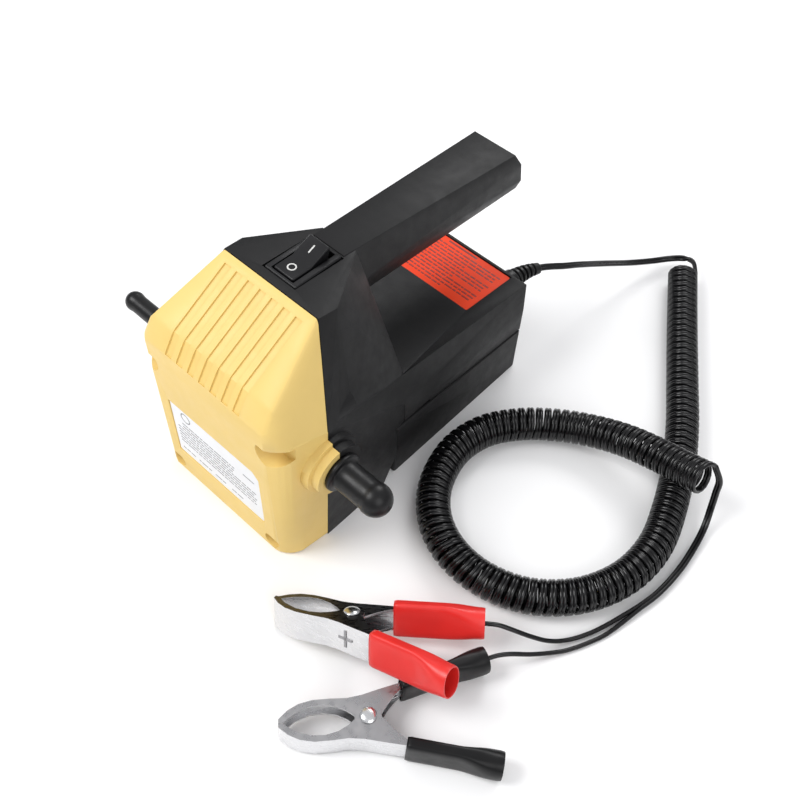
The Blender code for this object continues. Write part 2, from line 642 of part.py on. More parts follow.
def pump():
    body = block("pump_body", (-24, PUMP_FRONT_Y, 16), (24, PUMP_REAR_Y, 77), "aluminium")
    round_edges(body, 2.0, segments=1)
    floor_y = PUMP_FRONT_Y + 0.3 + GEAR_WIDTH + GAP
    for name, z in (("drive", SHAFT_Z), ("idler", IDLER_Z)):
        chamber = rod(f"{name}_chamber", GEAR_TIP_RADIUS + GAP, (0, -12, z), (0, floor_y, z), None, sides=48)
        cut(body, chamber)
    for side in (-1, 1):
        port_z = (SHAFT_Z + IDLER_Z) / 2
        low, high = sorted((side * 9, side * 18))
        cut(body, block(f"port_{side}", (low, -12, port_z - 4), (high, floor_y, NOZZLE_Z + 4), None))
        spigot_radius = 5.9 if side > 0 else 3.6
        cut(body, rod(f"port_bore_{side}", spigot_radius, (side * 14, 0, NOZZLE_Z), (side * 30, 0, NOZZLE_Z), None))
    cut(body, rod("shaft_hole", SHAFT_RADIUS + GAP, (0, 0, SHAFT_Z), (0, 12, SHAFT_Z), None, sides=20))
    cut(body, rod("seal_pocket", 6.3, (0, 5.4, SHAFT_Z), (0, 12, SHAFT_Z), None, sides=24))
    cut(body, rod("idler_hole", SHAFT_RADIUS + GAP, (0, 0, IDLER_Z), (0, 12, IDLER_Z), None, sides=20))
    plate = block("pump_cover", (-24, -11.5, 16), (24, PUMP_FRONT_Y - GAP, 77), "aluminium")
    round_edges(plate, 1.0, segments=1)
    spots = [(x, z) for x in (-19.5, 19.5) for z in (20.5, 72.5)]
    for i, (x, z) in enumerate(spots):
        cut(body, rod(f"pump_tap_{i + 1}", 1.8, (x, -10, z), (x, 4, z), None, sides=12))
        cut(plate, rod(f"pump_clear_{i + 1}", 1.8, (x, -13, z), (x, -6, z), None, sides=12))
        screw(f"pump_screw_{i + 1}", (x, -11.8, z), (0, -1, 0), 14)
    cut(plate, rod("plate_pin_hole", SHAFT_RADIUS + GAP, (0, -10.4, IDLER_Z), (0, -6, IDLER_Z), None, sides=20))
    drive = gear("drive_gear", SHAFT_Z, math.pi / 2)
    driven = gear("driven_gear", IDLER_Z, -math.pi / 2 + math.pi / GEAR_TEETH)
    rod("idler_pin", SHAFT_RADIUS, (0, -10.1, IDLER_Z), (0, 8.6, IDLER_Z), "plated_steel", sides=20)
    ring = [(6.0, 2.8), (6.0, 0.0), (SHAFT_RADIUS + GAP, 0.0), (SHAFT_RADIUS + GAP, 2.8)]
    turned("shaft_seal", ring, (0, 5.8, SHAFT_Z), (0, 1, 0), "black_rubber", 24)
    pivot("idler_axis", point(0, 0, IDLER_Z), [driven])
    return drive


def screw(name, seat, axis, length, head_radius=3.0):
    """A pan-head screw: the head stands on the seat, towards axis, and the shank goes in the other way."""
    profile = [(0, 2.0), (head_radius * 0.6, 1.9), (head_radius, 1.1), (head_radius, 0)]
    profile += [(1.3, 0), (1.3, -length), (0, -length - 1)]
    return turned(name, profile, seat, axis, "plated_steel", 16)


def nozzles():
    """The two hose spigots, with a barb at the end, and their rubber caps."""
    sizes = {  # outer radius, bore, barb radius, end x, cap radius, cap end x
        "outlet": (1, 5.4, 3.8, 5.9, 69.0, 7.2, 78.4),
        "inlet": (-1, 3.1, 1.8, 3.5, 74.0, 4.7, 86.0),
    }
    for name, (side, radius, bore, barb, end, cap_radius, cap_end) in sizes.items():
        collar = radius + 2.2
        profile = [(bore, end), (radius - 0.3, end), (barb, end - 4), (radius - 0.5, end - 4.4)]
        profile += [(radius, end - 9), (radius, 50.4), (collar, 50.4), (collar, 40.0), (radius, 40.0)]
        profile += [(radius, 16.0), (bore, 16.0)]
        turned(f"spigot_{name}", profile, (0, 0, NOZZLE_Z), (side, 0, 0), "black_plastic", 24)
        inner = barb + GAP
        flange = cap_radius + 2.9
        ball = cap_radius * 1.07
        cap = [(0, cap_end)]
        for i in range(1, 6):
            turn = math.radians(90 * i / 5)
            cap.append((ball * math.sin(turn), cap_end - ball + ball * math.cos(turn)))
        cap += [(cap_radius, cap_end - ball - 3), (cap_radius, 54.0), (flange, 53.6), (flange, 51.4)]
        cap += [(inner, 51.4), (inner, cap_end - 4.6), (inner * 0.5, cap_end - 2.4), (0, cap_end - 2.0)]
        rubber = turned(f"cap_{name}", cap, (0, 0, NOZZLE_Z), (side, 0, 0), "black_rubber", 24)
        pivot(f"cap_{name}_slide", point(0, 0, NOZZLE_Z), [rubber])


# The motor


def motor(drive_gear):
    front, rear, radius = MOTOR_FRONT_Y, MOTOR_REAR_Y, MOTOR_RADIUS
    centre = (0, 0, SHAFT_Z)
    can = [(radius, rear - front), (radius, 4.2), (radius - 1.4, 4.2), (radius - 1.4, rear - front - 1.6)]
    can += [(7.0, rear - front - 1.6), (7.0, rear - front - 5.0), (SHAFT_RADIUS + GAP, rear - front - 5.0)]
    can += [(SHAFT_RADIUS + GAP, rear - front)]
    turned("motor_can", can, (0, front, SHAFT_Z), (0, 1, 0), "dark_steel", 40)
    plate = [(radius, 3.9), (radius, 0.0), (7.6, 0.0), (7.6, 3.9)]
    turned("motor_end_plate", plate, (0, front, SHAFT_Z), (0, 1, 0), "aluminium", 40)
    bearing = [(7.3, 4.0), (7.3, 0.0), (SHAFT_RADIUS + GAP, 0.0), (SHAFT_RADIUS + GAP, 4.0)]
    turned("front_bearing", bearing, (0, front, SHAFT_Z), (0, 1, 0), "plated_steel", 24)
    shaft = rod("motor_shaft", SHAFT_RADIUS, (0, PUMP_FRONT_Y + 0.3, SHAFT_Z), (0, rear - 1.0, SHAFT_Z), "plated_steel")
    armature = prism("armature", [(x, SHAFT_Z + z) for x, z in slotted_core()], "Y", 32, 66, "dark_steel")
    winding = [(12.0, 40.0), (13.0, 37.5), (13.0, 2.5), (12.0, 0.0), (6.0, -0.6), (6.0, 40.6)]
    coils = turned("windings", winding, (0, 29, SHAFT_Z), (0, 1, 0), None, 32)
    commutator = [(7.0, 14.0), (7.0, 0.0), (4.0, 0.0), (4.0, 14.0)]
    segments = turned("commutator", commutator, (0, 67, SHAFT_Z), (0, 1, 0), None, 24)
    join(armature, coils, segments)
    cut(armature, rod("armature_bore", SHAFT_RADIUS + GAP, (0, 20, SHAFT_Z), (0, 90, SHAFT_Z), None, sides=20))
    for side, name in ((-1, "left"), (1, "right")):
        outline = []
        for reach, turns in ((20.4, range(9)), (16.4, range(8, -1, -1))):
            for i in turns:
                angle = math.radians(-56 + 14 * i)
                outline.append((side * reach * math.cos(angle), SHAFT_Z + reach * math.sin(angle)))
        prism(f"magnet_{name}", outline, "Y", 30, 68, "ferrite")
        inner, outer = sorted((side * 7.4, side * 14.5))
        block(f"brush_{name}", (inner, 72.0, SHAFT_Z - 2.5), (outer, 77.5, SHAFT_Z + 2.5), "ferrite")
    pivot("rotor_axis", point(*centre), [shaft, armature, drive_gear])


def slotted_core():
    """The laminated core's outline: five poles with slots between them."""
    poles, outline = 5, []
    step = 2 * math.pi / poles
    for i in range(poles):
        middle = math.pi / 2 + i * step
        for j in range(6):
            angle = middle + step * (-0.4 + 0.16 * j)
            outline.append((15.4 * math.cos(angle), 15.4 * math.sin(angle)))
        for share, radius in ((0.43, 12.0), (0.57, 12.0)):
            angle = middle + step * share
            outline.append((radius * math.cos(angle), radius * math.sin(angle)))
    return outline


def fasteners():
    for name, (x, z, _, seat_y) in COVER_SCREWS.items():
        screw(f"cover_screw_{name}", (x, seat_y - GAP, z), (0, -1, 0), 22, head_radius=2.8)
    for i, (x, y) in enumerate(BASE_SCREWS):
        screw(f"base_screw_{i + 1}", (x, y, 4.0 - GAP), (0, 0, -1), 14, head_radius=2.8)


def inner_leads():
    """The two wires inside the case, from the cable's entry and the motor up to the switch."""
    supply = [(26.8, 134.6, 51.2), (25, 124, 50), (28, 100, 50), (28, 66, 50), (25, 49, 58), (12, 40, 76), (3.2, 37, 86), (0, 36, 89.2)]
    tube("supply_lead", [point(*p) for p in smooth_route(supply, 6)], 0.9, "red_vinyl")
    motor_side = [(-10, 94, 38), (-17, 98, 42), (-26, 94, 49), (-28, 66, 50), (-25, 49, 58), (-12, 30, 76), (-3.2, 25, 86), (0, 24, 89.2)]
    tube("motor_lead", [point(*p) for p in smooth_route(motor_side, 6)], 0.9, "cable_black")


# The supply cord


def strain_relief():
    """The ribbed boot: a grooved neck through the rear wall, then ribs that taper along a gentle bend."""
    x, _, z = BOOT_ROUTE[0]
    neck = ((135.6, 3.4), (137.6, 3.4), (137.7, 2.6), (140.6, 2.6))
    stations = [(Vector((x, y, z)), radius) for y, radius in neck]
    spine = smooth_route(BOOT_ROUTE, 1.2)
    for i, spot in enumerate(spine):
        share = i / (len(spine) - 1)
        radius = 5.4 - 2.4 * share
        stations.append((Vector(spot), radius - (0.9 if i % 3 == 2 else 0.0)))
    rings = []
    for i, (spot, radius) in enumerate(stations):
        before, after = stations[max(i - 1, 0)][0], stations[min(i + 1, len(stations) - 1)][0]
        along = (after - before).normalized() if i > 3 else Vector((0, 1, 0))
        across = along.cross(Vector((0, 0, 1))).normalized()
        up = across.cross(along)
        ring = []
        for j in range(16):
            turn = 2 * math.pi * j / 16
            ring.append(point(*(spot + across * radius * math.cos(turn) + up * radius * math.sin(turn))))
        rings.append(ring)
    loft("strain_relief", rings, "black_rubber")


def cords():
    routes = {
        "lead_cable": (LEAD_ROUTE, WIRE, 5.0),
        "coiled_cable": (COIL_ROUTE, COIL_RADIUS, 10.5),
        "tail_cable": (TAIL_ROUTE, WIRE, 5.0),
        "positive_wire": (POSITIVE_ROUTE, WIRE / 2, 4.4),
        "negative_wire": (NEGATIVE_ROUTE, WIRE / 2, 4.4),
    }
    for name, (route, radius, spacing) in routes.items():
        points = [point(*p) for p in smooth_route(route, spacing)]
        tube(name, points, radius, "cable_black", 4 if radius > 4 else 2)


# The battery clamps


def clamp_frame(foot, angles):
    """The clamp lies on its side, its pivot near upright. Tilt raises the handles, and roll leans the pivot over."""
    heading, tilt, roll = map(math.radians, angles)
    turn = Matrix.Rotation(heading, 4, "Z") @ Matrix.Rotation(-tilt, 4, "Y") @ Matrix.Rotation(roll, 4, "X")
    return Matrix.Translation(point(*foot)) @ turn


def arm_outline():
    """One arm seen along the pivot: jaw, ear round the rivet and handle, on the +Y side of the clamp."""
    handle = Vector((math.cos(HANDLE_ANGLE), math.sin(HANDLE_ANGLE)))
    side = Vector((-handle.y, handle.x)) * HANDLE_HALF_DEPTH
    root = Vector(HANDLE_ROOT)
    outline = [(-JAW_LENGTH, 0.2), (-JAW_LENGTH, 1.9), (-31.4, 5.1), (-27, 7.4), (-21.4, 8.6), (-14.5, 8.6)]
    outline += [(-8, 8.3), (-2, 9.1), (5, 10.9), tuple(root + side)]
    outline += [tuple(root + handle * 20 + side), tuple(root + handle * 20 - side), tuple(root - side)]
    outline += [(11.2, 7.9), (8.6, 5.2), (6.6, 2.6)]
    for i in range(7):
        turn = math.radians(10 - 200 * i / 6)
        outline.append((5.4 * math.cos(turn), 5.4 * math.sin(turn)))
    return outline + [(-8, 3.1), (-12, 5.2), (-17, 6.3), (-22.8, 6.0), (-28.8, 3.8), (-32.2, 1.3), (-33.4, 0.2)]


def arm(name, side, low, high):
    """A channel of folded sheet: two cheeks joined by the spine along the arm's outer edge."""
    outline = [(x, side * y) for x, y in arm_outline()]
    piece = prism(name, outline, "Z", low, high, "plated_steel", place=mm)
    outer = arm_outline()[1:10]
    hollow = [(max(x, -JAW_LENGTH + SHEET), side * (y - SHEET)) for x, y in outer]
    hollow += [(outer[-1][0] + 2, side * (outer[-1][1] - SHEET)), (outer[-1][0] + 2, side * -12)]
    hollow += [(-JAW_LENGTH + SHEET, side * -12)]
    cut(piece, prism(f"{name}_hollow", hollow, "Z", low + SHEET, high - SHEET, None, place=mm))
    cut(piece, rod(f"{name}_eye", 2.2, (0, 0, low - 1), (0, 0, high + 1), None, sides=16, place=mm))
    return piece


def sleeve(name, side, look):
    """A vinyl tube pressed flat over the handle, opening to a rounder mouth at its free end."""
    handle = Vector((math.cos(HANDLE_ANGLE), side * math.sin(HANDLE_ANGLE)))
    across = Vector((-handle.y, handle.x))
    root = Vector((HANDLE_ROOT[0], side * HANDLE_ROOT[1]))
    middle = SLEEVE_HEIGHT / 2
    rings = []
    for share, depth, height, roundness in (
        (0, 5.4, 15.8, 5.0), (0.52, 5.4, 15.8, 5.0), (0.72, 8.0, 14.8, 3.0), (1, 11.0, 14.0, 2.2),
    ):
        foot = root + handle * SLEEVE_LENGTH * share
        ring = []
        for i in range(20):
            turn = 2 * math.pi * i / 20
            c, s = math.cos(turn), math.sin(turn)
            size = (abs(c) ** roundness + abs(s) ** roundness) ** (-1 / roundness)
            spot = foot + across * (depth / 2 * size * c)
            ring.append(mm(spot.x, spot.y, middle + height / 2 * size * s))
        rings.append(ring)
    tube_skin = loft(name, rings, look, caps=False)
    wall = tube_skin.modifiers.new("wall", "SOLIDIFY")
    wall.thickness = 0.9 * MM
    wall.offset = -1
    wall.use_even_offset = True
    return tube_skin


def clamp_spring(name):
    """A torsion spring round the rivet, with a leg along each handle."""
    turns, radius, low, high = 3, 4.0, 5.2, 10.8
    start, end = -HANDLE_ANGLE - math.pi / 2 + 0.25, HANDLE_ANGLE + math.pi / 2 - 0.25
    sweep = end - start + 2 * math.pi * turns
    points = [mm(12.4, -8.2, low)]
    count = 10 * turns + 6
    for i in range(count + 1):
        angle = start + sweep * i / count
        points.append(mm(radius * math.cos(angle), radius * math.sin(angle), low + (high - low) * i / count))
    points.append(mm(12.4, 8.2, high))
    return tube(name, points, 0.6, "plated_steel")


def clamps():
    for name, (foot, angles) in CLAMPS.items():
        look = "red_vinyl" if name == "positive" else "black_rubber"
        fixed = arm(f"{name}_fixed_arm", 1, 3.0, 13.0)
        moving = arm(f"{name}_moving_arm", -1, 1.5, 14.5)
        wired_sleeve = sleeve(f"{name}_wired_sleeve", 1, look)
        free_sleeve = sleeve(f"{name}_free_sleeve", -1, look)
        rivet = [(0, 16.0), (2.2, 15.8), (3.4, 14.8), (1.8, 14.8), (1.8, 1.2), (3.2, 1.2), (3.2, 0.5), (0, 0.5)]
        pin = turned(f"{name}_rivet", rivet, (0, 0, 0), (0, 0, 1), "plated_steel", 16, place=mm)
        spring = clamp_spring(f"{name}_spring")
        frame = clamp_frame(foot, angles)
        pieces = (fixed, moving, wired_sleeve, free_sleeve, pin, spring)
        bpy.context.view_layer.update()
        empty = bpy.data.objects.new(f"{name}_jaw_pivot", None)
        PARTS.objects.link(empty)
        empty.matrix_world = frame
        helpers = [m.object for piece in pieces for m in piece.modifiers if m.type == "BOOLEAN"]
        for piece in (*pieces, *helpers):
            piece.parent = empty


def main():
    start_scene()
    front_cover()
    housing = upper_housing()
    trim_housing_for_tray(housing)
    base_tray()
    labels()
    handle_underside()
    switch()
    drive_gear = pump()
    nozzles()
    motor(drive_gear)
    fasteners()
    inner_leads()
    strain_relief()
    cords()
    clamps()
    for obj in PARTS.objects:
        if obj.type == "MESH":
            smooth(obj)
    bpy.context.view_layer.update()


main()
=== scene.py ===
"""The looks of the fluid transfer pump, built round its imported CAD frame.

Lengths are written in millimetres on the design axes of the model: Y = 0 is the parting plane between the
front cover and the housing. spot() turns such a position into metres in the frame.
"""

import json
import math

import bmesh
import bpy
from mathutils import Matrix, Vector


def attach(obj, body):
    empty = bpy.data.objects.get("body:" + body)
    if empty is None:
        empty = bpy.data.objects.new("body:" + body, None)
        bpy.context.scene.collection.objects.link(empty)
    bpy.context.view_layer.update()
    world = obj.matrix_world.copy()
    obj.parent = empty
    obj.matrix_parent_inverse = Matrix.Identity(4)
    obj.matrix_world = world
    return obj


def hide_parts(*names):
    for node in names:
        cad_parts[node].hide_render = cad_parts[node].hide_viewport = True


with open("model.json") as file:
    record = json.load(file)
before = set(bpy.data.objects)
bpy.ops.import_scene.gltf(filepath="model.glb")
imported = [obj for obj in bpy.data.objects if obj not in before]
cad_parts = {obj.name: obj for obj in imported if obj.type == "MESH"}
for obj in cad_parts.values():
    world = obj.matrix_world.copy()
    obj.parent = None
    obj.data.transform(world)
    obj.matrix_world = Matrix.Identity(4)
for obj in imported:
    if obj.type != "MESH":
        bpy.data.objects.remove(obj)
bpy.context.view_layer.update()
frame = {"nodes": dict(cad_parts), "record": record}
nodes = frame["nodes"]

MM = 0.001
ORIGIN_Y = 64.0
NOZZLE_Z = 58.6
WIRE_RADIUS, PAIR_OFFSET = 1.02, 0.74
COIL_PITCH, COIL_WIND_RADIUS = 4.2, 7.15
HANDLE_ROOT, HANDLE_ANGLE, SLEEVE_LENGTH = (14.0, 11.8), math.radians(15.5), 38.0
FLAT_SLEEVE, SLEEVE_MOUTH = (5.4, 15.8), (10.9, 13.6)  # depth and height
CLAMPS = {  # name: place of the pivot's foot; heading, tilt and roll in degrees
    "positive": ((91.3, -32.5, 7.5), (24.3, 13.5, -29.2)),
    "negative": ((119.5, -52.3, 0.0), (48.85, 0.0, 0.0)),
}
UP = Vector((0, 0, 1))


def spot(x, y, z):
    return Vector((x, y - ORIGIN_Y, z)) * MM


def plain(x, y, z):
    return Vector((x, y, z)) * MM


# Materials


def new_material(name, colour, roughness, metallic=0.0, **sockets):
    made = bpy.data.materials.new(name)
    made.use_nodes = True
    tree = made.node_tree
    shader = tree.nodes["Principled BSDF"]
    shader.inputs["Base Color"].default_value = (*colour, 1)
    shader.inputs["Roughness"].default_value = roughness
    shader.inputs["Metallic"].default_value = metallic
    for key, value in sockets.items():
        shader.inputs[key.replace("_", " ")].default_value = value
    return made, tree, shader


def noise(tree, scale, detail=4.0, stretch=(1, 1, 1), rough=0.6):
    """Noise over the object's own coordinates, in metres."""
    place = tree.nodes.new("ShaderNodeTexCoord")
    mapping = tree.nodes.new("ShaderNodeMapping")
    mapping.inputs["Scale"].default_value = stretch
    made = tree.nodes.new("ShaderNodeTexNoise")
    made.inputs["Scale"].default_value = scale
    made.inputs["Detail"].default_value = detail
    made.inputs["Roughness"].default_value = rough
    tree.links.new(place.outputs["Object"], mapping.inputs["Vector"])
    tree.links.new(mapping.outputs["Vector"], made.inputs["Vector"])
    return made.outputs["Fac"]


def vary(tree, shader, factor, low, high):
    """Drives the shader's colour between two colours."""
    ramp = tree.nodes.new("ShaderNodeValToRGB")
    ramp.color_ramp.elements[0].position, ramp.color_ramp.elements[1].position = 0.3, 0.7
    ramp.color_ramp.elements[0].color = (*low, 1)
    ramp.color_ramp.elements[1].color = (*high, 1)
    tree.links.new(factor, ramp.inputs["Fac"])
    tree.links.new(ramp.outputs["Color"], shader.inputs["Base Color"])
    return ramp


def vary_roughness(tree, shader, factor, low, high):
    span = tree.nodes.new("ShaderNodeMapRange")
    span.inputs["From Min"].default_value, span.inputs["From Max"].default_value = 0.3, 0.7
    span.inputs["To Min"].default_value, span.inputs["To Max"].default_value = low, high
    tree.links.new(factor, span.inputs["Value"])
    tree.links.new(span.outputs["Result"], shader.inputs["Roughness"])


def bump(tree, shader, factor, strength, distance):
    made = tree.nodes.new("ShaderNodeBump")
    made.inputs["Strength"].default_value = strength
    made.inputs["Distance"].default_value = distance
    tree.links.new(factor, made.inputs["Height"])
    tree.links.new(made.outputs["Normal"], shader.inputs["Normal"])


def scaled(colour, amount):
    return tuple(min(1.0, c * amount) for c in colour)


def plastic(name, colour, roughness, grain_scale, grain, spread=0.05, **sockets):
    """Moulded plastic: spark-eroded grain, faint flow mottling and uneven gloss."""
    made, tree, shader = new_material(name, colour, roughness, **sockets)
    vary(tree, shader, noise(tree, 45, 3), scaled(colour, 1 - spread), scaled(colour, 1 + spread))
    vary_roughness(tree, shader, noise(tree, 160, 5), roughness - 0.05, roughness + 0.07)
    bump(tree, shader, noise(tree, grain_scale, 2), grain, 0.0001)
    return made


def metal(name, colour, roughness, stretch, scratch=0.1, spread=0.12):
    """Plated or machined metal, with fine directional marks and cloudy roughness."""
    made, tree, shader = new_material(name, colour, roughness, 1.0)
    vary(tree, shader, noise(tree, 90, 6), scaled(colour, 1 - spread), scaled(colour, 1 + spread * 0.4))
    vary_roughness(tree, shader, noise(tree, 260, 6, stretch), roughness * 0.7, roughness * 1.5)
    bump(tree, shader, noise(tree, 700, 3, stretch), scratch, 0.00005)
    return made


YELLOW = plastic("yellow_moulding", (0.785, 0.568, 0.19), 0.45, 2600, 0.16, 0.02, Specular_IOR_Level=0.3)
BLACK = plastic("black_moulding", (0.0085, 0.0085, 0.009), 0.5, 1900, 0.35, 0.12, Specular_IOR_Level=0.26)
BLACK_SMOOTH = plastic(
    "black_switch_plastic", (0.007, 0.007, 0.008), 0.34, 3200, 0.12, 0.1, Specular_IOR_Level=0.35
)
RUBBER = plastic("black_cap_rubber", (0.005, 0.005, 0.0055), 0.36, 1400, 0.22, 0.18, Specular_IOR_Level=0.3)
BOOT_RUBBER = plastic("boot_vinyl", (0.005, 0.005, 0.0055), 0.33, 1700, 0.15, 0.1, Specular_IOR_Level=0.4)
CABLE = plastic("cable_vinyl", (0.0025, 0.0025, 0.003), 0.2, 900, 0.1, 0.12, Specular_IOR_Level=0.4)
RED = plastic("red_dipped_vinyl", (0.70, 0.024, 0.02), 0.33, 700, 0.12, 0.06)
BLACK_VINYL = plastic(
    "black_dipped_vinyl", (0.005, 0.005, 0.0055), 0.36, 700, 0.14, 0.1, Specular_IOR_Level=0.25
)
WHITE_FILM = plastic("white_film", (0.80, 0.81, 0.84), 0.36, 1200, 0.04, 0.015)
RED_FILM = plastic("red_film", (0.82, 0.058, 0.016), 0.5, 1200, 0.05, 0.03, Specular_IOR_Level=0.15)
INK_GREY = plastic("grey_ink", (0.20, 0.205, 0.22), 0.5, 2000, 0.05, 0.2)
INK_DARK = plastic("dark_ink", (0.16, 0.012, 0.008), 0.5, 2000, 0.05, 0.2)
MARK_WHITE = plastic("white_marking", (0.62, 0.62, 0.60), 0.45, 2400, 0.06, 0.06)
ZINC = metal("bright_zinc", (0.70, 0.71, 0.72), 0.22, (1, 1, 6), 0.12)
STEEL = metal("machine_steel", (0.36, 0.36, 0.37), 0.32, (1, 8, 1))
CAST = metal("die_cast", (0.52, 0.53, 0.54), 0.42, (1, 1, 1), 0.2)
BRASS = metal("brass_strip", (0.72, 0.50, 0.20), 0.3, (1, 1, 5))
FERRITE = plastic("sintered_ferrite", (0.03, 0.03, 0.032), 0.7, 1500, 0.4, 0.2)


def plate_metal(name, axis, cheek, web):
    """Bright plate whose flat cheeks, square to the pivot, are coloured darker than its rolled outer web; on
    the positive clamp that dark cheek colour is painted shade, standing in for a dark reflection.
    """
    made, tree, shader = new_material(name, web, 0.3, 1.0)
    geometry = tree.nodes.new("ShaderNodeNewGeometry")
    facing = tree.nodes.new("ShaderNodeVectorMath")
    facing.operation = "DOT_PRODUCT"
    facing.inputs[1].default_value = axis
    size = tree.nodes.new("ShaderNodeMath")
    size.operation = "ABSOLUTE"
    tree.links.new(geometry.outputs["True Normal"], facing.inputs[0])
    tree.links.new(facing.outputs["Value"], size.inputs[0])
    # The cheek colour goes on the faces square to the pivot. On the positive clamp it is painted shade (a
    # painted dark reflection); on the negative clamp those faces are just given a darker colour.
    vary(tree, shader, size.outputs["Value"], web, cheek)
    vary_roughness(tree, shader, noise(tree, 260, 6, (1, 1, 6)), 0.2, 0.42)
    bump(tree, shader, noise(tree, 700, 3, (1, 1, 6)), 0.12, 0.00005)
    return made


LOOK_OF_SLOT = {
    "yellow_plastic": YELLOW, "black_plastic": BLACK, "black_rubber": RUBBER, "cable_black": CABLE,
    "red_vinyl": RED, "white_label": WHITE_FILM, "red_label": RED_FILM, "plated_steel": ZINC,
    "dark_steel": STEEL, "aluminium": CAST, "brass": BRASS, "ferrite": FERRITE,
}
SLOT_OF_NODE = {s["node"]: s["material_slot"] for s in frame["record"]["subparts"]}
BODY_OF_NODE = {n: b for b, names in frame["record"]["behaviour"]["bodies"].items() for n in names}

for node_name, node in nodes.items():
    look = LOOK_OF_SLOT[SLOT_OF_NODE[node_name]]
    if node.material_slots:
        node.material_slots[0].material = look
    else:
        node.data.materials.append(look)


# Mesh helpers


def place(obj, body, look, slot, *replaced):
    """Links a piece, gives it its look, parents it to its body and hides the CAD parts it replaces."""
    if obj.name not in bpy.context.scene.collection.objects:
        bpy.context.scene.collection.objects.link(obj)
    if look is not None:
        obj.data.materials.clear()
        obj.data.materials.append(look)
    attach(obj, body)
    if replaced:
        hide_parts(*replaced)
    return obj


def object_of(name, bm, sharp=32):
    bmesh.ops.recalc_face_normals(bm, faces=bm.faces)
    mesh = bpy.data.meshes.new(name)
    bm.to_mesh(mesh)
    bm.free()
    mesh.shade_smooth()
    mesh.set_sharp_from_angle(angle=math.radians(sharp))
    return bpy.data.objects.new(name, mesh)


def refine(node_name, name, bevel=0.25, angle=28, look=None, segments=2, sharp=32):
    """A finer copy of a CAD solid: whole flat faces, softened edges and smooth shading."""
    bm = bmesh.new()
    bm.from_mesh(nodes[node_name].data)
    bmesh.ops.remove_doubles(bm, verts=bm.verts, dist=2e-6)
    bmesh.ops.dissolve_degenerate(bm, edges=bm.edges, dist=5e-6)
    bmesh.ops.dissolve_limit(bm, angle_limit=math.radians(0.6), verts=bm.verts, edges=bm.edges)
    piece = object_of(name, bm, sharp)
    if bevel:
        soften = piece.modifiers.new("edge", "BEVEL")
        soften.width = bevel * MM
        soften.segments = segments
        soften.limit_method = "ANGLE"
        soften.angle_limit = math.radians(angle)
        soften.miter_outer = "MITER_ARC"
        soften.harden_normals = True
    slot = SLOT_OF_NODE[node_name]
    return place(piece, BODY_OF_NODE[node_name], look or LOOK_OF_SLOT[slot], slot, node_name)


def lathe(name, profile, origin, axis, steps=64, sharp=40, at=spot):
    """A surface of revolution through (radius, height) points; a radius of 0 closes it."""
    turn = Vector(axis).to_track_quat("Z", "Y").to_matrix()
    foot = at(*origin)
    bm = bmesh.new()
    rows = []
    for radius, height in profile:
        if radius < 1e-6:
            rows.append([bm.verts.new(foot + turn @ plain(0, 0, height))])
            continue
        ring = []
        for i in range(steps):
            angle = 2 * math.pi * i / steps
            x, y = radius * math.cos(angle), radius * math.sin(angle)
            ring.append(bm.verts.new(foot + turn @ plain(x, y, height)))
        rows.append(ring)
    closed = profile[0][0] > 1e-6 and profile[-1][0] > 1e-6
    pairs = list(zip(rows, rows[1:])) + ([(rows[-1], rows[0])] if closed else [])
    for one, two in pairs:
        for i in range(steps):
            j = (i + 1) % steps
            a = [one[0]] if len(one) == 1 else [one[i], one[j]]
            b = [two[0]] if len(two) == 1 else [two[j], two[i]]
            bm.faces.new(a + b)
    return object_of(name, bm, sharp)


def loft(name, rings, closed_ends=True, sharp=35):
    bm = bmesh.new()
    rows = [[bm.verts.new(p) for p in ring] for ring in rings]
    for one, two in zip(rows, rows[1:]):
        for i in range(len(one)):
            j = (i + 1) % len(one)
            bm.faces.new((one[i], one[j], two[j], two[i]))
    if closed_ends:
        bm.faces.new(rows[0])
        bm.faces.new(rows[-1])
    return object_of(name, bm, sharp)


def plates(name, corners_of_each, thickness, frame_of, sharp=30):
    """Thin raised shapes on a surface: each a list of (x, y) in millimetres on the given frame."""
    bm = bmesh.new()
    for corners in corners_of_each:
        low = [bm.verts.new(frame_of @ plain(x, y, -0.02)) for x, y in corners]
        high = [bm.verts.new(frame_of @ plain(x, y, thickness)) for x, y in corners]
        bm.faces.new(low[::-1])
        bm.faces.new(high)
        for i in range(len(corners)):
            j = (i + 1) % len(corners)
            bm.faces.new((low[i], low[j], high[j], high[i]))
    return object_of(name, bm, sharp)


def smooth_route(route, spacing):
    """Points every spacing mm along a smooth curve through the route."""
    knots = [Vector(p) for p in route]
    knots = [2 * knots[0] - knots[1], *knots, 2 * knots[-1] - knots[-2]]
    fine = []
    for a, b, c, d in zip(knots, knots[1:], knots[2:], knots[3:]):
        for i in range(40):
            t = i / 40
            square, cube = 2 * a - 5 * b + 4 * c - d, 3 * b - a - 3 * c + d
            fine.append(0.5 * (2 * b + (c - a) * t + square * t**2 + cube * t**3))
    fine.append(knots[-2])
    total = sum((q - p).length for p, q in zip(fine, fine[1:]))
    count = max(2, round(total / spacing))
    out, walked, target = [fine[0]], 0.0, total / count
    for p, q in zip(fine, fine[1:]):
        step = (q - p).length
        while walked + step >= target and len(out) < count:
            out.append(p.lerp(q, (target - walked) / step))
            target += total / count
        walked += step
    return out + [fine[-1]]


def wire_curve(name, points, radius, resolution=3):
    curve = bpy.data.curves.new(name, "CURVE")
    curve.dimensions = "3D"
    curve.bevel_depth = radius * MM
    curve.bevel_resolution = resolution
    curve.use_fill_caps = True
    spline = curve.splines.new("POLY")
    spline.use_smooth = True
    spline.points.add(len(points) - 1)
    for knot, p in zip(spline.points, points):
        knot.co = (*p, 1)
    return bpy.data.objects.new(name, curve)


def length_of(points):
    return sum((q - p).length for p, q in zip(points, points[1:]))


# Camera


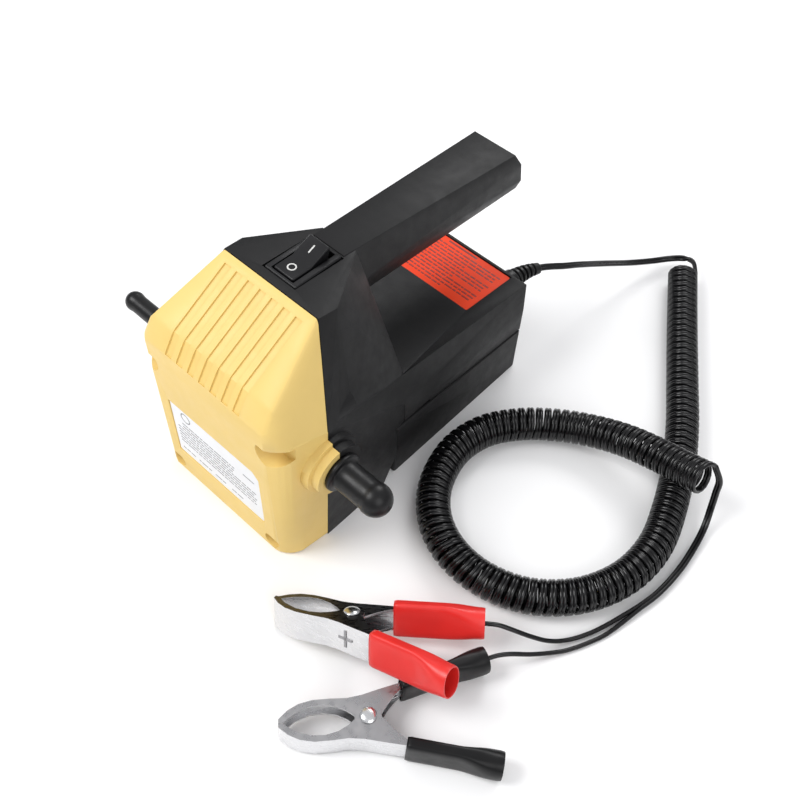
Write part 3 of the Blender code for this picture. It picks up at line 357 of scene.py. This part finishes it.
def make_camera():
    azimuth, elevation, roll = math.radians(39), math.radians(51.5), math.radians(5)
    right = Vector((math.cos(azimuth), math.sin(azimuth), 0))
    level = math.cos(elevation)
    back = Vector((math.sin(azimuth) * level, -math.cos(azimuth) * level, math.sin(elevation)))
    up = back.cross(right)
    right, up = math.cos(roll) * right + math.sin(roll) * up, -math.sin(roll) * right + math.cos(roll) * up
    data = bpy.data.cameras.new("camera")
    data.lens, data.sensor_width = 45.45, 36.0
    data.clip_start = 0.01
    camera = bpy.data.objects.new("camera", data)
    turn = Matrix((right, up, back)).transposed().to_4x4()
    camera.matrix_world = Matrix.Translation(spot(214.2, -166.7, 399.8)) @ turn
    bpy.context.scene.collection.objects.link(camera)
    bpy.context.scene.camera = camera


make_camera()


# The supply cord: two wires side by side, from the boot through the helix to the clamps

BOOT_ROUTE = [(26.8, 140.9, 51.2), (27.5, 147.0, 51.4), (28.8, 153.5, 51.2), (30.8, 160.0, 50.4)]
LEAD_ROUTE = [
    (28.2, 151.0, 51.3), (30.9, 160.4, 50.3), (33.4, 167.0, 48.6), (36.2, 175.6, 45.2), (38.5, 187.8, 39.6),
    (41.6, 210.1, 27.6), (45.4, 233.1, 15.4), (50.4, 250.6, 8.6), (56.0, 260.6, 7.6), (62.4, 264.8, 9.4),
    (68.4, 264.8, 10.6), (72.6, 262.0, 9.8),
]
COIL_ROUTE = [
    (69.0, 254.1, 8.3), (83.8, 230.7, 8.3), (98.8, 207.4, 8.3), (113.2, 185.4, 8.3), (127.3, 163.6, 8.3),
    (139.6, 141.6, 8.3), (150.2, 117.2, 8.3), (156.6, 95.0, 8.3), (155.8, 72.6, 8.3), (146.8, 51.6, 8.3),
    (131.0, 35.8, 8.3), (111.6, 28.2, 8.3), (92.6, 28.6, 8.3), (76.2, 36.2, 8.3), (64.0, 50.6, 8.3),
    (57.8, 70.6, 8.3), (60.0, 89.6, 8.3), (69.4, 105.4, 8.4), (82.0, 117.2, 8.9), (96.4, 124.8, 11.4),
    (114.4, 128.2, 17.2), (132.4, 127.6, 23.6), (145.2, 126.2, 28.0), (156.2, 124.8, 32.5),
]
TAIL_ROUTE = [
    (161.2, 132.4, 27.6), (162.4, 132.0, 20.0), (164.2, 129.6, 11.0), (167.0, 122.6, 4.6),
    (169.2, 110.8, 2.4), (170.6, 96.6, 2.4), (170.2, 80.4, 2.4), (167.4, 65.0, 2.4),
]
WIRE_ENDS = {
    "positive": [
        (162.4, 51.2, 1.9), (158.4, 41.0, 1.9), (153.8, 32.8, 2.6), (149.2, 26.5, 5.2), (143.6, 21.0, 9.4),
        (137.6, 16.4, 13.2), (131.8, 12.5, 15.6),
    ],
    "negative": [
        (165.4, 50.2, 1.3), (161.6, 39.6, 1.3), (157.4, 31.0, 1.5), (153.2, 24.4, 2.6), (147.8, 16.8, 4.8),
        (142.0, 9.8, 7.2), (138.4, 4.6, 8.0),
    ],
}
RUN_IN, RUN_OUT, LAST_ANGLE = 3.0, 1.0, math.radians(25)
LEAD_FACE = Vector((0.13, -0.62, 0.77)).normalized()  # square to the flat of the paired lead


def clamp_frame(name):
    foot, angles = CLAMPS[name]
    heading, tilt, roll = map(math.radians, angles)
    turn = Matrix.Rotation(heading, 4, "Z") @ Matrix.Rotation(-tilt, 4, "Y") @ Matrix.Rotation(roll, 4, "X")
    return Matrix.Translation(spot(*foot)) @ turn


def grip_axis(name, along):
    """A point inside a wired grip, along the handle from its root, in design millimetres."""
    x = HANDLE_ROOT[0] + along * math.cos(HANDLE_ANGLE)
    y = HANDLE_ROOT[1] + along * math.sin(HANDLE_ANGLE)
    p = clamp_frame(name) @ plain(x, y, 8.0) / MM
    return Vector((p.x, p.y + ORIGIN_Y, p.z))


def ease(t):
    t = min(1.0, max(0.0, t))
    return t * t * (3 - 2 * t)


def coil_path():
    """The helix's centreline and outward direction, winding up from a straight run and unwinding at the end."""
    first = (Vector(COIL_ROUTE[1]) - Vector(COIL_ROUTE[0])).normalized()
    last = (Vector(COIL_ROUTE[-1]) - Vector(COIL_ROUTE[-2])).normalized()
    centre = smooth_route(COIL_ROUTE, COIL_PITCH / 16)
    step = length_of(centre) / (len(centre) - 1)
    before, after = round(RUN_IN / step), round(RUN_OUT / step)
    centre = [centre[0] - first * step * (before - i) for i in range(before)] + centre
    centre += [centre[-1] + last * step * (i + 1) for i in range(after)]
    total = step * (len(centre) - 1)
    rates = [ease(i * step / RUN_IN) * ease((total - i * step) / RUN_OUT) for i in range(len(centre))]
    whole = 2 * math.pi / COIL_PITCH * step * sum(rates)
    turns = round((whole + LAST_ANGLE) / (2 * math.pi))
    scale = (2 * math.pi * turns - LAST_ANGLE) / sum(rates)
    out, angle = [], 0.0
    for i, middle in enumerate(centre):
        along = (centre[min(i + 1, len(centre) - 1)] - centre[max(i - 1, 0)]).normalized()
        side = UP.cross(along).normalized()
        outward = side * math.cos(angle) + along.cross(side) * math.sin(angle)
        out.append((middle + outward * COIL_WIND_RADIUS, outward))
        angle -= rates[i] * scale
    return out


def blended(points, start, end, reach):
    """Pairs each point with a direction that turns from start to end over the last reach points."""
    out = []
    for i, p in enumerate(points):
        t = ease((i - (len(points) - reach)) / reach)
        out.append((p, (start * (1 - t) + end * t).normalized()))
    return out


def hanging(points, start, across, reach):
    """Pairs each point with a direction that keeps the pair of wires side by side along across."""
    out = []
    for i, p in enumerate(points[1:], 1):
        along = (points[min(i + 1, len(points) - 1)] - points[i - 1]).normalized()
        outward = across.cross(along).normalized()
        out.append((p, start.lerp(outward, ease(i / reach)).normalized()))
    return out


def cord_paths():
    coil = coil_path()
    lead = smooth_route([*LEAD_ROUTE[:-1], coil[0][0]], 1.5)
    tail = smooth_route([coil[-1][0], *TAIL_ROUTE], 1.5)
    across = (Vector(COIL_ROUTE[-1]) - Vector(COIL_ROUTE[-2])).normalized()
    path = blended(lead[:-1], LEAD_FACE, coil[0][1], 20) + coil + hanging(tail, coil[-1][1], across, 10)
    wires = {}
    for name, side in (("positive", -1), ("negative", 1)):
        points = []
        for i, (p, outward) in enumerate(path):
            along = (path[min(i + 1, len(path) - 1)][0] - path[max(i - 1, 0)][0]).normalized()
            points.append(p + along.cross(outward).normalized() * PAIR_OFFSET * side)
        grip = [grip_axis(name, along) for along in (36, 28, 18, 8, 3)]
        end = smooth_route([points[-8], points[-4], *WIRE_ENDS[name], *grip], 1.5)
        skip = min(range(len(end)), key=lambda k: (end[k] - points[-4]).length)
        wires[name] = [spot(*p) for p in points[:-4] + end[skip:]]
    return wires


WIRES = {}
for wire_name, wire_points in cord_paths().items():
    WIRES[wire_name] = (wire_curve(f"{wire_name}_cord_wire", wire_points, WIRE_RADIUS), wire_points)
place(WIRES["positive"][0], "case", CABLE, "cable_black", "lead_cable", "coiled_cable", "positive_wire")
place(WIRES["negative"][0], "case", CABLE, "cable_black", "tail_cable", "negative_wire")


# The case

refine("front_cover", "front_cover_moulding", 0.3, 30)
refine("upper_housing", "upper_housing_moulding", 0.3, 30)
refine("base_tray", "base_tray_moulding", 0.3, 30)
refine("handle_underside", "handle_underside_moulding", 0.2)
refine("switch_bezel", "switch_bezel_moulding", 0.2, look=BLACK_SMOOTH)
refine("switch_body", "switch_body_moulding", 0.2, look=BLACK_SMOOTH)
refine("rocker", "rocker_moulding", 0.2, look=BLACK_SMOOTH)
for internal in ("pump_body", "pump_cover", "drive_gear", "driven_gear"):
    refine(internal, f"{internal}_machined", 0.2)


def front_plane(z, x=0.0):
    y = -23.0 - 3.0 * z / 91.4
    lean = math.atan2(3.0, 91.4)
    return Matrix.Translation(spot(x, y, z)) @ Matrix.Rotation(math.pi / 2 + lean, 4, "X")


def rear_plane():
    slope = math.atan2(57.2 - 62.0, 140.4 - 52.0)
    return Matrix.Translation(spot(0, 122.0, 62.0 + math.tan(slope) * 70.0)) @ Matrix.Rotation(slope, 4, "X")


def rounded(outline, radii, steps=5):
    """An outline whose corners are rounded, each by its own radius."""
    out = []
    for i, (x, y) in enumerate(outline):
        corner = Vector((x, y))
        one = (Vector(outline[i - 1]) - corner).normalized()
        two = (Vector(outline[(i + 1) % len(outline)]) - corner).normalized()
        radius = radii[i]
        if radius <= 0:
            out.append((x, y))
            continue
        start, end = corner + one * radius, corner + two * radius
        for k in range(steps + 1):
            t = k / steps
            p = start * (1 - t) ** 2 + corner * 2 * t * (1 - t) + end * t**2
            out.append((p.x, p.y))
    return out


def dashes(left, right, y, height, seed):
    """A line of print, shown as dashes of uneven length."""
    out, x, k = [], left, seed
    while x < right - 1.2:
        k = (k * 73 + 41) % 97
        width = min(1.3 + 3.4 * (k % 11) / 10, right - x)
        out.append([(x, y), (x + width, y), (x + width, y + height), (x, y + height)])
        x += width + 0.55
    return out


def circle(centre_x, centre_y, radius, steps):
    turns = [2 * math.pi * k / steps for k in range(steps + 1)]
    return [(centre_x + radius * math.cos(turn), centre_y + radius * math.sin(turn)) for turn in turns]


def labels():
    film_seat, print_seat = Matrix.Translation(plain(0, 0, -0.75)), Matrix.Translation(plain(0, 0, -0.59))
    corners = [(-28, -18.2), (28, -18.2), (28, 15.0), (24.8, 18.2), (-28, 18.2)]
    outline = rounded(corners, [1.4, 1.4, 1.6, 1.6, 1.4])
    front = plates("front_label_film", [outline], 0.16, front_plane(37.2) @ film_seat)
    place(front, "case", WHITE_FILM, "white_label", "front_label")
    rear_outline = rounded([(-28.8, -16.6), (28.8, -16.6), (28.8, 16.6), (-28.8, 16.6)], [1.2] * 4)
    rear = plates("rear_label_film", [rear_outline], 0.16, rear_plane() @ film_seat)
    place(rear, "case", RED_FILM, "red_label", "rear_label")
    print_frame = front_plane(37.2) @ print_seat
    shapes = []
    for i in range(8):
        shapes += dashes(-25.4 + (3.6 if i < 2 else 0), 12.0 + 13.0 * (i > 2), 6.6 - 2.2 * i, 0.7, 5 + 3 * i)
    for i in range(4):
        shapes += dashes(-25.4 + 11 * i, -17.0 + 11 * i, -14.6, 0.7, 11 + i)
    shapes.append([(17.6, 8.2), (24.6, 8.2), (24.6, 8.9), (17.6, 8.9)])
    ring, inner = circle(-18.6, 13.0, 3.1, 20), circle(-18.6, 13.0, 2.5, 20)
    for k in range(20):
        shapes.append([ring[k], ring[k + 1], inner[k + 1], inner[k]])
    place(plates("front_label_print", shapes, 0.03, print_frame), "case", INK_GREY, "white_label")
    rear_frame = rear_plane() @ print_seat
    lines = []
    for i in range(12):
        lines += dashes(-26.0, 26.0 if i % 4 != 3 else 9.0, 11.6 - 2.25 * i, 0.8, 7 + 5 * i)
    lines.append([(-9.0, 14.4), (9.0, 14.4), (9.0, 15.5), (-9.0, 15.5)])
    place(plates("rear_label_print", lines, 0.03, rear_frame), "case", INK_DARK, "red_label")


labels()


# The switch


def rocker_marks():
    tilt = Matrix.Translation(spot(0, 30.0, 119.3)) @ Matrix.Rotation(math.radians(12), 4, "X")
    front_slope, rear_slope = math.atan2(2.2 - 4.3, 9.7), math.atan2(4.6 - 2.2, 10.9)
    off_seat, on_seat = plain(0, -5.6, 2.2 + 5.0 * 2.1 / 9.7), plain(0, 5.4, 2.2 + 6.0 * 2.4 / 10.9)
    off = tilt @ Matrix.Translation(off_seat) @ Matrix.Rotation(front_slope, 4, "X")
    on = tilt @ Matrix.Translation(on_seat) @ Matrix.Rotation(rear_slope, 4, "X")
    shapes = []
    for k in range(32):
        a, b = 2 * math.pi * k / 32, 2 * math.pi * (k + 1) / 32
        shapes.append([(r * math.cos(t), r * math.sin(t)) for r, t in ((2.0, a), (2.0, b), (1.4, b), (1.4, a))])
    place(plates("rocker_off_mark", shapes, 0.05, off), "rocker", MARK_WHITE, "white_label")
    bar = [[(-0.33, -1.9), (0.33, -1.9), (0.33, 1.9), (-0.33, 1.9)]]
    place(plates("rocker_on_mark", bar, 0.05, on), "rocker", MARK_WHITE, "white_label")


rocker_marks()


# Nozzles, caps and screws


def nozzles():
    sizes = {  # name: side, then the spigot's radius, bore, barb and end, then the cap's radius and end
        "outlet": (1, 5.4, 3.8, 5.9, 69.0, 6.9, 78.4),
        "inlet": (-1, 3.1, 1.8, 3.5, 74.0, 4.4, 86.0),
    }
    for name, (side, radius, bore, barb, end, cap_radius, cap_end) in sizes.items():
        collar = radius + 2.2
        profile = [(bore, end), (radius - 0.5, end), (radius - 0.2, end - 0.3)]
        profile += [(barb, end - 4), (barb, end - 4.3)]
        profile += [(radius - 0.5, end - 4.7), (radius, end - 9), (radius, 50.4), (collar - 0.3, 50.4)]
        profile += [(collar, 50.1), (collar, 40.3), (collar - 0.3, 40.0)]
        profile += [(radius, 40.0), (radius, 16.0), (bore, 16.0)]
        spigot = lathe(f"{name}_spigot", profile, (0, 0, NOZZLE_Z), (side, 0, 0), 48)
        place(spigot, "case", BLACK_SMOOTH, "black_plastic", f"spigot_{name}")
        inner, flange, ball = barb + 0.3, cap_radius + 2.2, cap_radius * 1.07
        cap = [(0, cap_end)]
        for i in range(1, 13):
            turn = math.radians(100 * i / 12)
            cap.append((ball * math.sin(turn), cap_end - ball + ball * math.cos(turn)))
        low = cap_end - ball * 1.17
        cap += [(cap_radius + 0.05, low - 1.0), (cap_radius - 0.05, low - 2.4), (cap_radius, 58.0)]
        cap += [(cap_radius, 54.6), (cap_radius + 0.25, 54.1), (cap_radius + 0.8, 53.8)]
        cap += [(flange - 0.5, 53.75), (flange - 0.1, 53.4)]
        cap += [(flange, 52.9), (flange, 51.9), (flange - 0.2, 51.5), (flange - 0.5, 51.4)]
        cap += [(inner, 51.4), (inner, cap_end - 4.6), (inner * 0.5, cap_end - 2.4), (0, cap_end - 2.0)]
        rubber = lathe(f"{name}_cap_rubber", cap, (0, 0, NOZZLE_Z), (side, 0, 0), 64)
        place(rubber, f"{name}_cap", RUBBER, "black_rubber", f"cap_{name}")


def cross_screw(name, node_name, seat, axis, length, head):
    """A pan-head screw with a cross recess and a turned, grooved shank."""
    profile = [(0, 2.0), (head * 0.35, 1.97), (head * 0.62, 1.85), (head * 0.85, 1.5), (head * 0.98, 1.0)]
    profile += [(head, 0.6), (head, 0), (1.35, 0)]
    depth = 0.6
    while depth < length - 1:
        profile += [(1.5, -depth), (1.15, -depth - 0.45)]
        depth += 0.9
    profile += [(1.1, -length), (0, -length - 1)]
    screw = lathe(name, profile, seat, axis, 32)
    recess = bmesh.new()
    turn = Vector(axis).to_track_quat("Z", "Y").to_matrix().to_4x4()
    for spin in (0.35, 0.35 + math.pi / 2):
        made = bmesh.ops.create_cube(recess, size=1)["verts"]
        for v in made:
            wide = 0.34 if v.co.z > 0 else 0.2
            reach = 1.5 if v.co.z > 0 else 0.5
            v.co = plain(math.copysign(reach, v.co.x), math.copysign(wide, v.co.y), 2.4 if v.co.z > 0 else 0.7)
        bmesh.ops.transform(
            recess, matrix=Matrix.Translation(spot(*seat)) @ turn @ Matrix.Rotation(spin, 4, "Z"), verts=made
        )
    cutter = object_of(f"{name}_recess", recess)
    bpy.context.scene.collection.objects.link(cutter)
    bpy.context.scene.collection.objects.link(screw)
    cutting = screw.modifiers.new("recess", "BOOLEAN")
    cutting.object, cutting.solver, cutting.use_self = cutter, "EXACT", True
    apply_modifiers(screw)
    bpy.data.objects.remove(cutter)
    screw.data.shade_smooth()
    screw.data.set_sharp_from_angle(angle=math.radians(40))
    place(screw, "case", ZINC, "plated_steel", node_name)


def apply_modifiers(obj):
    bpy.context.view_layer.update()
    evaluated = obj.evaluated_get(bpy.context.evaluated_depsgraph_get())
    mesh = bpy.data.meshes.new_from_object(evaluated)
    obj.modifiers.clear()
    obj.data = mesh


nozzles()
for corner, (sx, sz, sy) in {
    "upper_right": (36.6, 77.6, -16.3), "upper_left": (-36.6, 77.6, -16.3),
    "lower_right": (31.5, 6.6, -15.3), "lower_left": (-31.5, 6.6, -15.3),
}.items():
    cross_screw(f"{corner}_case_screw", f"cover_screw_{corner}", (sx, sy, sz), (0, -1, 0), 22, 2.8)
for index, sx in enumerate((31.0, -31.0)):
    cross_screw(f"tray_screw_{index + 1}", f"base_screw_{index + 1}", (sx, 128.0, 3.7), (0, 0, -1), 14, 2.8)


# The boot


def boot():
    """The strain relief: a collar at the wall, then slotted ribs that taper along a gentle bend."""
    spine = smooth_route(BOOT_ROUTE, 0.2)
    count = len(spine)
    stations = [((26.8, 135.6, 51.2), 3.2), ((26.8, 135.8, 51.2), 3.4), ((26.8, 137.4, 51.2), 3.4)]
    stations += [((26.8, 137.6, 51.2), 2.6), ((26.8, 140.6, 51.2), 2.6)]
    for i, p in enumerate(spine):
        share = i / (count - 1)
        radius = 5.3 - 2.5 * share
        walked = share * 19.5
        if walked < 3.0:
            radius = 5.5 - 0.25 * ease((walked - 2.4) / 0.6)
        elif walked < 17.2:
            phase = ((walked - 3.0) % 2.84) / 2.84
            notch = ease(phase / 0.14) * ease((0.52 - phase) / 0.14)
            radius -= 1.05 * notch
        if share > 0.98:
            radius -= 0.35 * (share - 0.98) / 0.02
        stations.append((tuple(p), radius))
    rings = []
    for i, (p, radius) in enumerate(stations):
        before, after = Vector(stations[max(i - 1, 0)][0]), Vector(stations[min(i + 1, len(stations) - 1)][0])
        along = (after - before).normalized() if i > 5 else Vector((0, 1, 0))
        across = along.cross(UP).normalized()
        up = across.cross(along)
        ring = []
        for j in range(36):
            turn = 2 * math.pi * j / 36
            ring.append(spot(*(Vector(p) + across * radius * math.cos(turn) + up * radius * math.sin(turn))))
        rings.append(ring)
    place(loft("cord_boot", rings, sharp=50), "case", BOOT_RUBBER, "black_rubber", "strain_relief")


boot()


# The clamps


def sleeve(name, side, frame_of, look, slot, body, node_name):
    """A dipped vinyl tube: flat over the folded handle, with a crease where it opens into a round mouth."""
    handle = Vector((math.cos(HANDLE_ANGLE), side * math.sin(HANDLE_ANGLE)))
    across = Vector((-handle.y, handle.x))
    root = Vector((HANDLE_ROOT[0], side * HANDLE_ROOT[1]))
    stations, wall = 26, 0.95
    outside, inside = [], []
    for k in range(stations + 1):
        share = k / stations
        open_up = ease((share - 0.52) / 0.42)
        depth = FLAT_SLEEVE[0] + (SLEEVE_MOUTH[0] - FLAT_SLEEVE[0]) * open_up
        height = FLAT_SLEEVE[1] + (SLEEVE_MOUTH[1] - FLAT_SLEEVE[1]) * open_up
        power = 5.2 - 3.0 * open_up
        rim = 0.25 if k in (0, stations) else 0.0
        foot = root + handle * SLEEVE_LENGTH * share
        for skin, shrink in ((outside, rim), (inside, wall - rim)):
            ring = []
            for i in range(56):
                turn = 2 * math.pi * i / 56
                c, s = math.cos(turn), math.sin(turn)
                size = (abs(c) ** power + abs(s) ** power) ** (-1 / power)
                offset = (depth / 2 - shrink) * size * c
                p = foot + across * offset
                ring.append(frame_of @ plain(p.x, p.y, 8.0 + (height / 2 - shrink) * size * s))
            skin.append(ring)
    rings = outside + inside[::-1] + [outside[0]]
    piece = loft(name, rings, closed_ends=False, sharp=55)
    bm = bmesh.new()
    bm.from_mesh(piece.data)
    bmesh.ops.remove_doubles(bm, verts=bm.verts, dist=1e-7)
    bmesh.ops.recalc_face_normals(bm, faces=bm.faces)
    bm.to_mesh(piece.data)
    bm.free()
    return place(piece, body, look, slot, node_name)


def clamp(name):
    frame_of = clamp_frame(name)
    red = name == "positive"
    look, slot = (RED, "red_vinyl") if red else (BLACK_VINYL, "black_rubber")
    axis = (frame_of.to_3x3() @ UP).normalized()
    # Painted shade: the positive clamp's near-black cheek colour stands in for the dark reflection on its
    # cheeks. The negative clamp's cheeks are just given a darker colour than the web.
    cheek = (0.11, 0.11, 0.115) if red else (0.42, 0.42, 0.43)
    plate = plate_metal(f"{name}_jaw_plate", axis, cheek, (0.74, 0.74, 0.75))
    pieces = [
        refine(f"{name}_fixed_arm", f"{name}_fixed_jaw_plate", 0.22, 30, look=plate),
        refine(f"{name}_moving_arm", f"{name}_moving_jaw_plate", 0.22, 30, look=plate),
        sleeve(f"{name}_wired_grip", 1, frame_of, look, slot, "case", f"{name}_wired_sleeve"),
        sleeve(f"{name}_free_grip", -1, frame_of, look, slot, f"{name}_jaw", f"{name}_free_sleeve"),
    ]
    rivet = [(0, 16.0), (1.2, 15.95), (2.2, 15.75), (3.0, 15.4), (3.4, 15.0), (3.4, 14.8), (1.9, 14.8)]
    rivet += [(1.9, 1.2), (3.2, 1.2), (3.2, 0.9), (2.6, 0.55), (1.2, 0.5), (0, 0.5)]
    pin = lathe(f"{name}_rivet_pin", rivet, (0, 0, 0), (0, 0, 1), 40, at=plain)
    pin.data.transform(frame_of)
    pieces.append(place(pin, "case", ZINC, "plated_steel", f"{name}_rivet"))
    turns, radius, low, high = 3, 4.0, 5.2, 10.8
    start, end = -HANDLE_ANGLE - math.pi / 2 + 0.25, HANDLE_ANGLE + math.pi / 2 - 0.25
    sweep = end - start + 2 * math.pi * turns
    points = [plain(12.4, -8.2, low)]
    for i in range(97):
        angle = start + sweep * i / 96
        points.append(plain(radius * math.cos(angle), radius * math.sin(angle), low + (high - low) * i / 96))
    points.append(plain(12.4, 8.2, high))
    spring = wire_curve(f"{name}_torsion_spring", [frame_of @ p for p in points], 0.6)
    pieces.append(place(spring, "case", STEEL, "plated_steel", f"{name}_spring"))
    if red:
        web = Matrix.Translation(plain(1.5, -10.08, 8.0)) @ Matrix.Rotation(-0.252, 4, "Z")
        side = frame_of @ web @ Matrix.Rotation(math.pi / 2, 4, "X")
        cross = [[(-3.5, -0.6), (3.5, -0.6), (3.5, 0.6), (-3.5, 0.6)]]
        cross.append([(-0.6, -3.8), (0.6, -3.8), (0.6, 3.8), (-0.6, 3.8)])
        plus = plates("positive_plus_mark", cross, 0.22, side)
        pieces.append(place(plus, "positive_jaw", STEEL, "plated_steel"))
    return pieces


CLAMP_PIECES = {name: clamp(name) for name in CLAMPS}


# Studio


def studio():
    scene = bpy.context.scene
    scene.view_settings.view_transform = "Standard"
    scene.view_settings.look = "None"
    mesh = bpy.data.meshes.new("floor")
    mesh.from_pydata([(-6, -6, 0), (6, -6, 0), (6, 6, 0), (-6, 6, 0)], [], [(0, 1, 2, 3)])
    floor = bpy.data.objects.new("floor", mesh)
    scene.collection.objects.link(floor)
    made, tree, shader = new_material("pale_floor", (0.93, 0.93, 0.93), 0.6)
    shader.inputs["Specular IOR Level"].default_value = 0.15
    mesh.materials.append(made)
    world = bpy.data.worlds.new("studio")
    scene.world = world
    world.use_nodes = True
    tree = world.node_tree
    direction = tree.nodes.new("ShaderNodeTexCoord")
    split = tree.nodes.new("ShaderNodeSeparateXYZ")
    ramp = tree.nodes.new("ShaderNodeValToRGB")
    ramp.color_ramp.elements[0].position, ramp.color_ramp.elements[1].position = 0.0, 0.75
    ramp.color_ramp.elements[0].color = (0.30, 0.30, 0.31, 1)
    ramp.color_ramp.elements[1].color = (0.90, 0.90, 0.92, 1)
    tree.links.new(direction.outputs["Generated"], split.inputs["Vector"])
    tree.links.new(split.outputs["Z"], ramp.inputs["Fac"])
    tree.links.new(ramp.outputs["Color"], tree.nodes["Background"].inputs["Color"])
    tree.nodes["Background"].inputs["Strength"].default_value = 0.8
    aim = Vector((0.05, 0.0, 0.05))
    for name, position, size, energy in (
        ("key_light", (-0.55, -0.75, 1.15), 0.7, 12.0),
        ("fill_light", (0.95, -0.35, 0.75), 0.9, 4.0),
        ("rim_light", (-0.3, 0.9, 0.9), 0.6, 5.0),
    ):
        data = bpy.data.lights.new(name, "AREA")
        data.shape, data.size, data.energy = "DISK", size, energy
        light = bpy.data.objects.new(name, data)
        light.location = position
        light.rotation_euler = (aim - Vector(position)).to_track_quat("-Z", "Y").to_euler()
        scene.collection.objects.link(light)


studio()
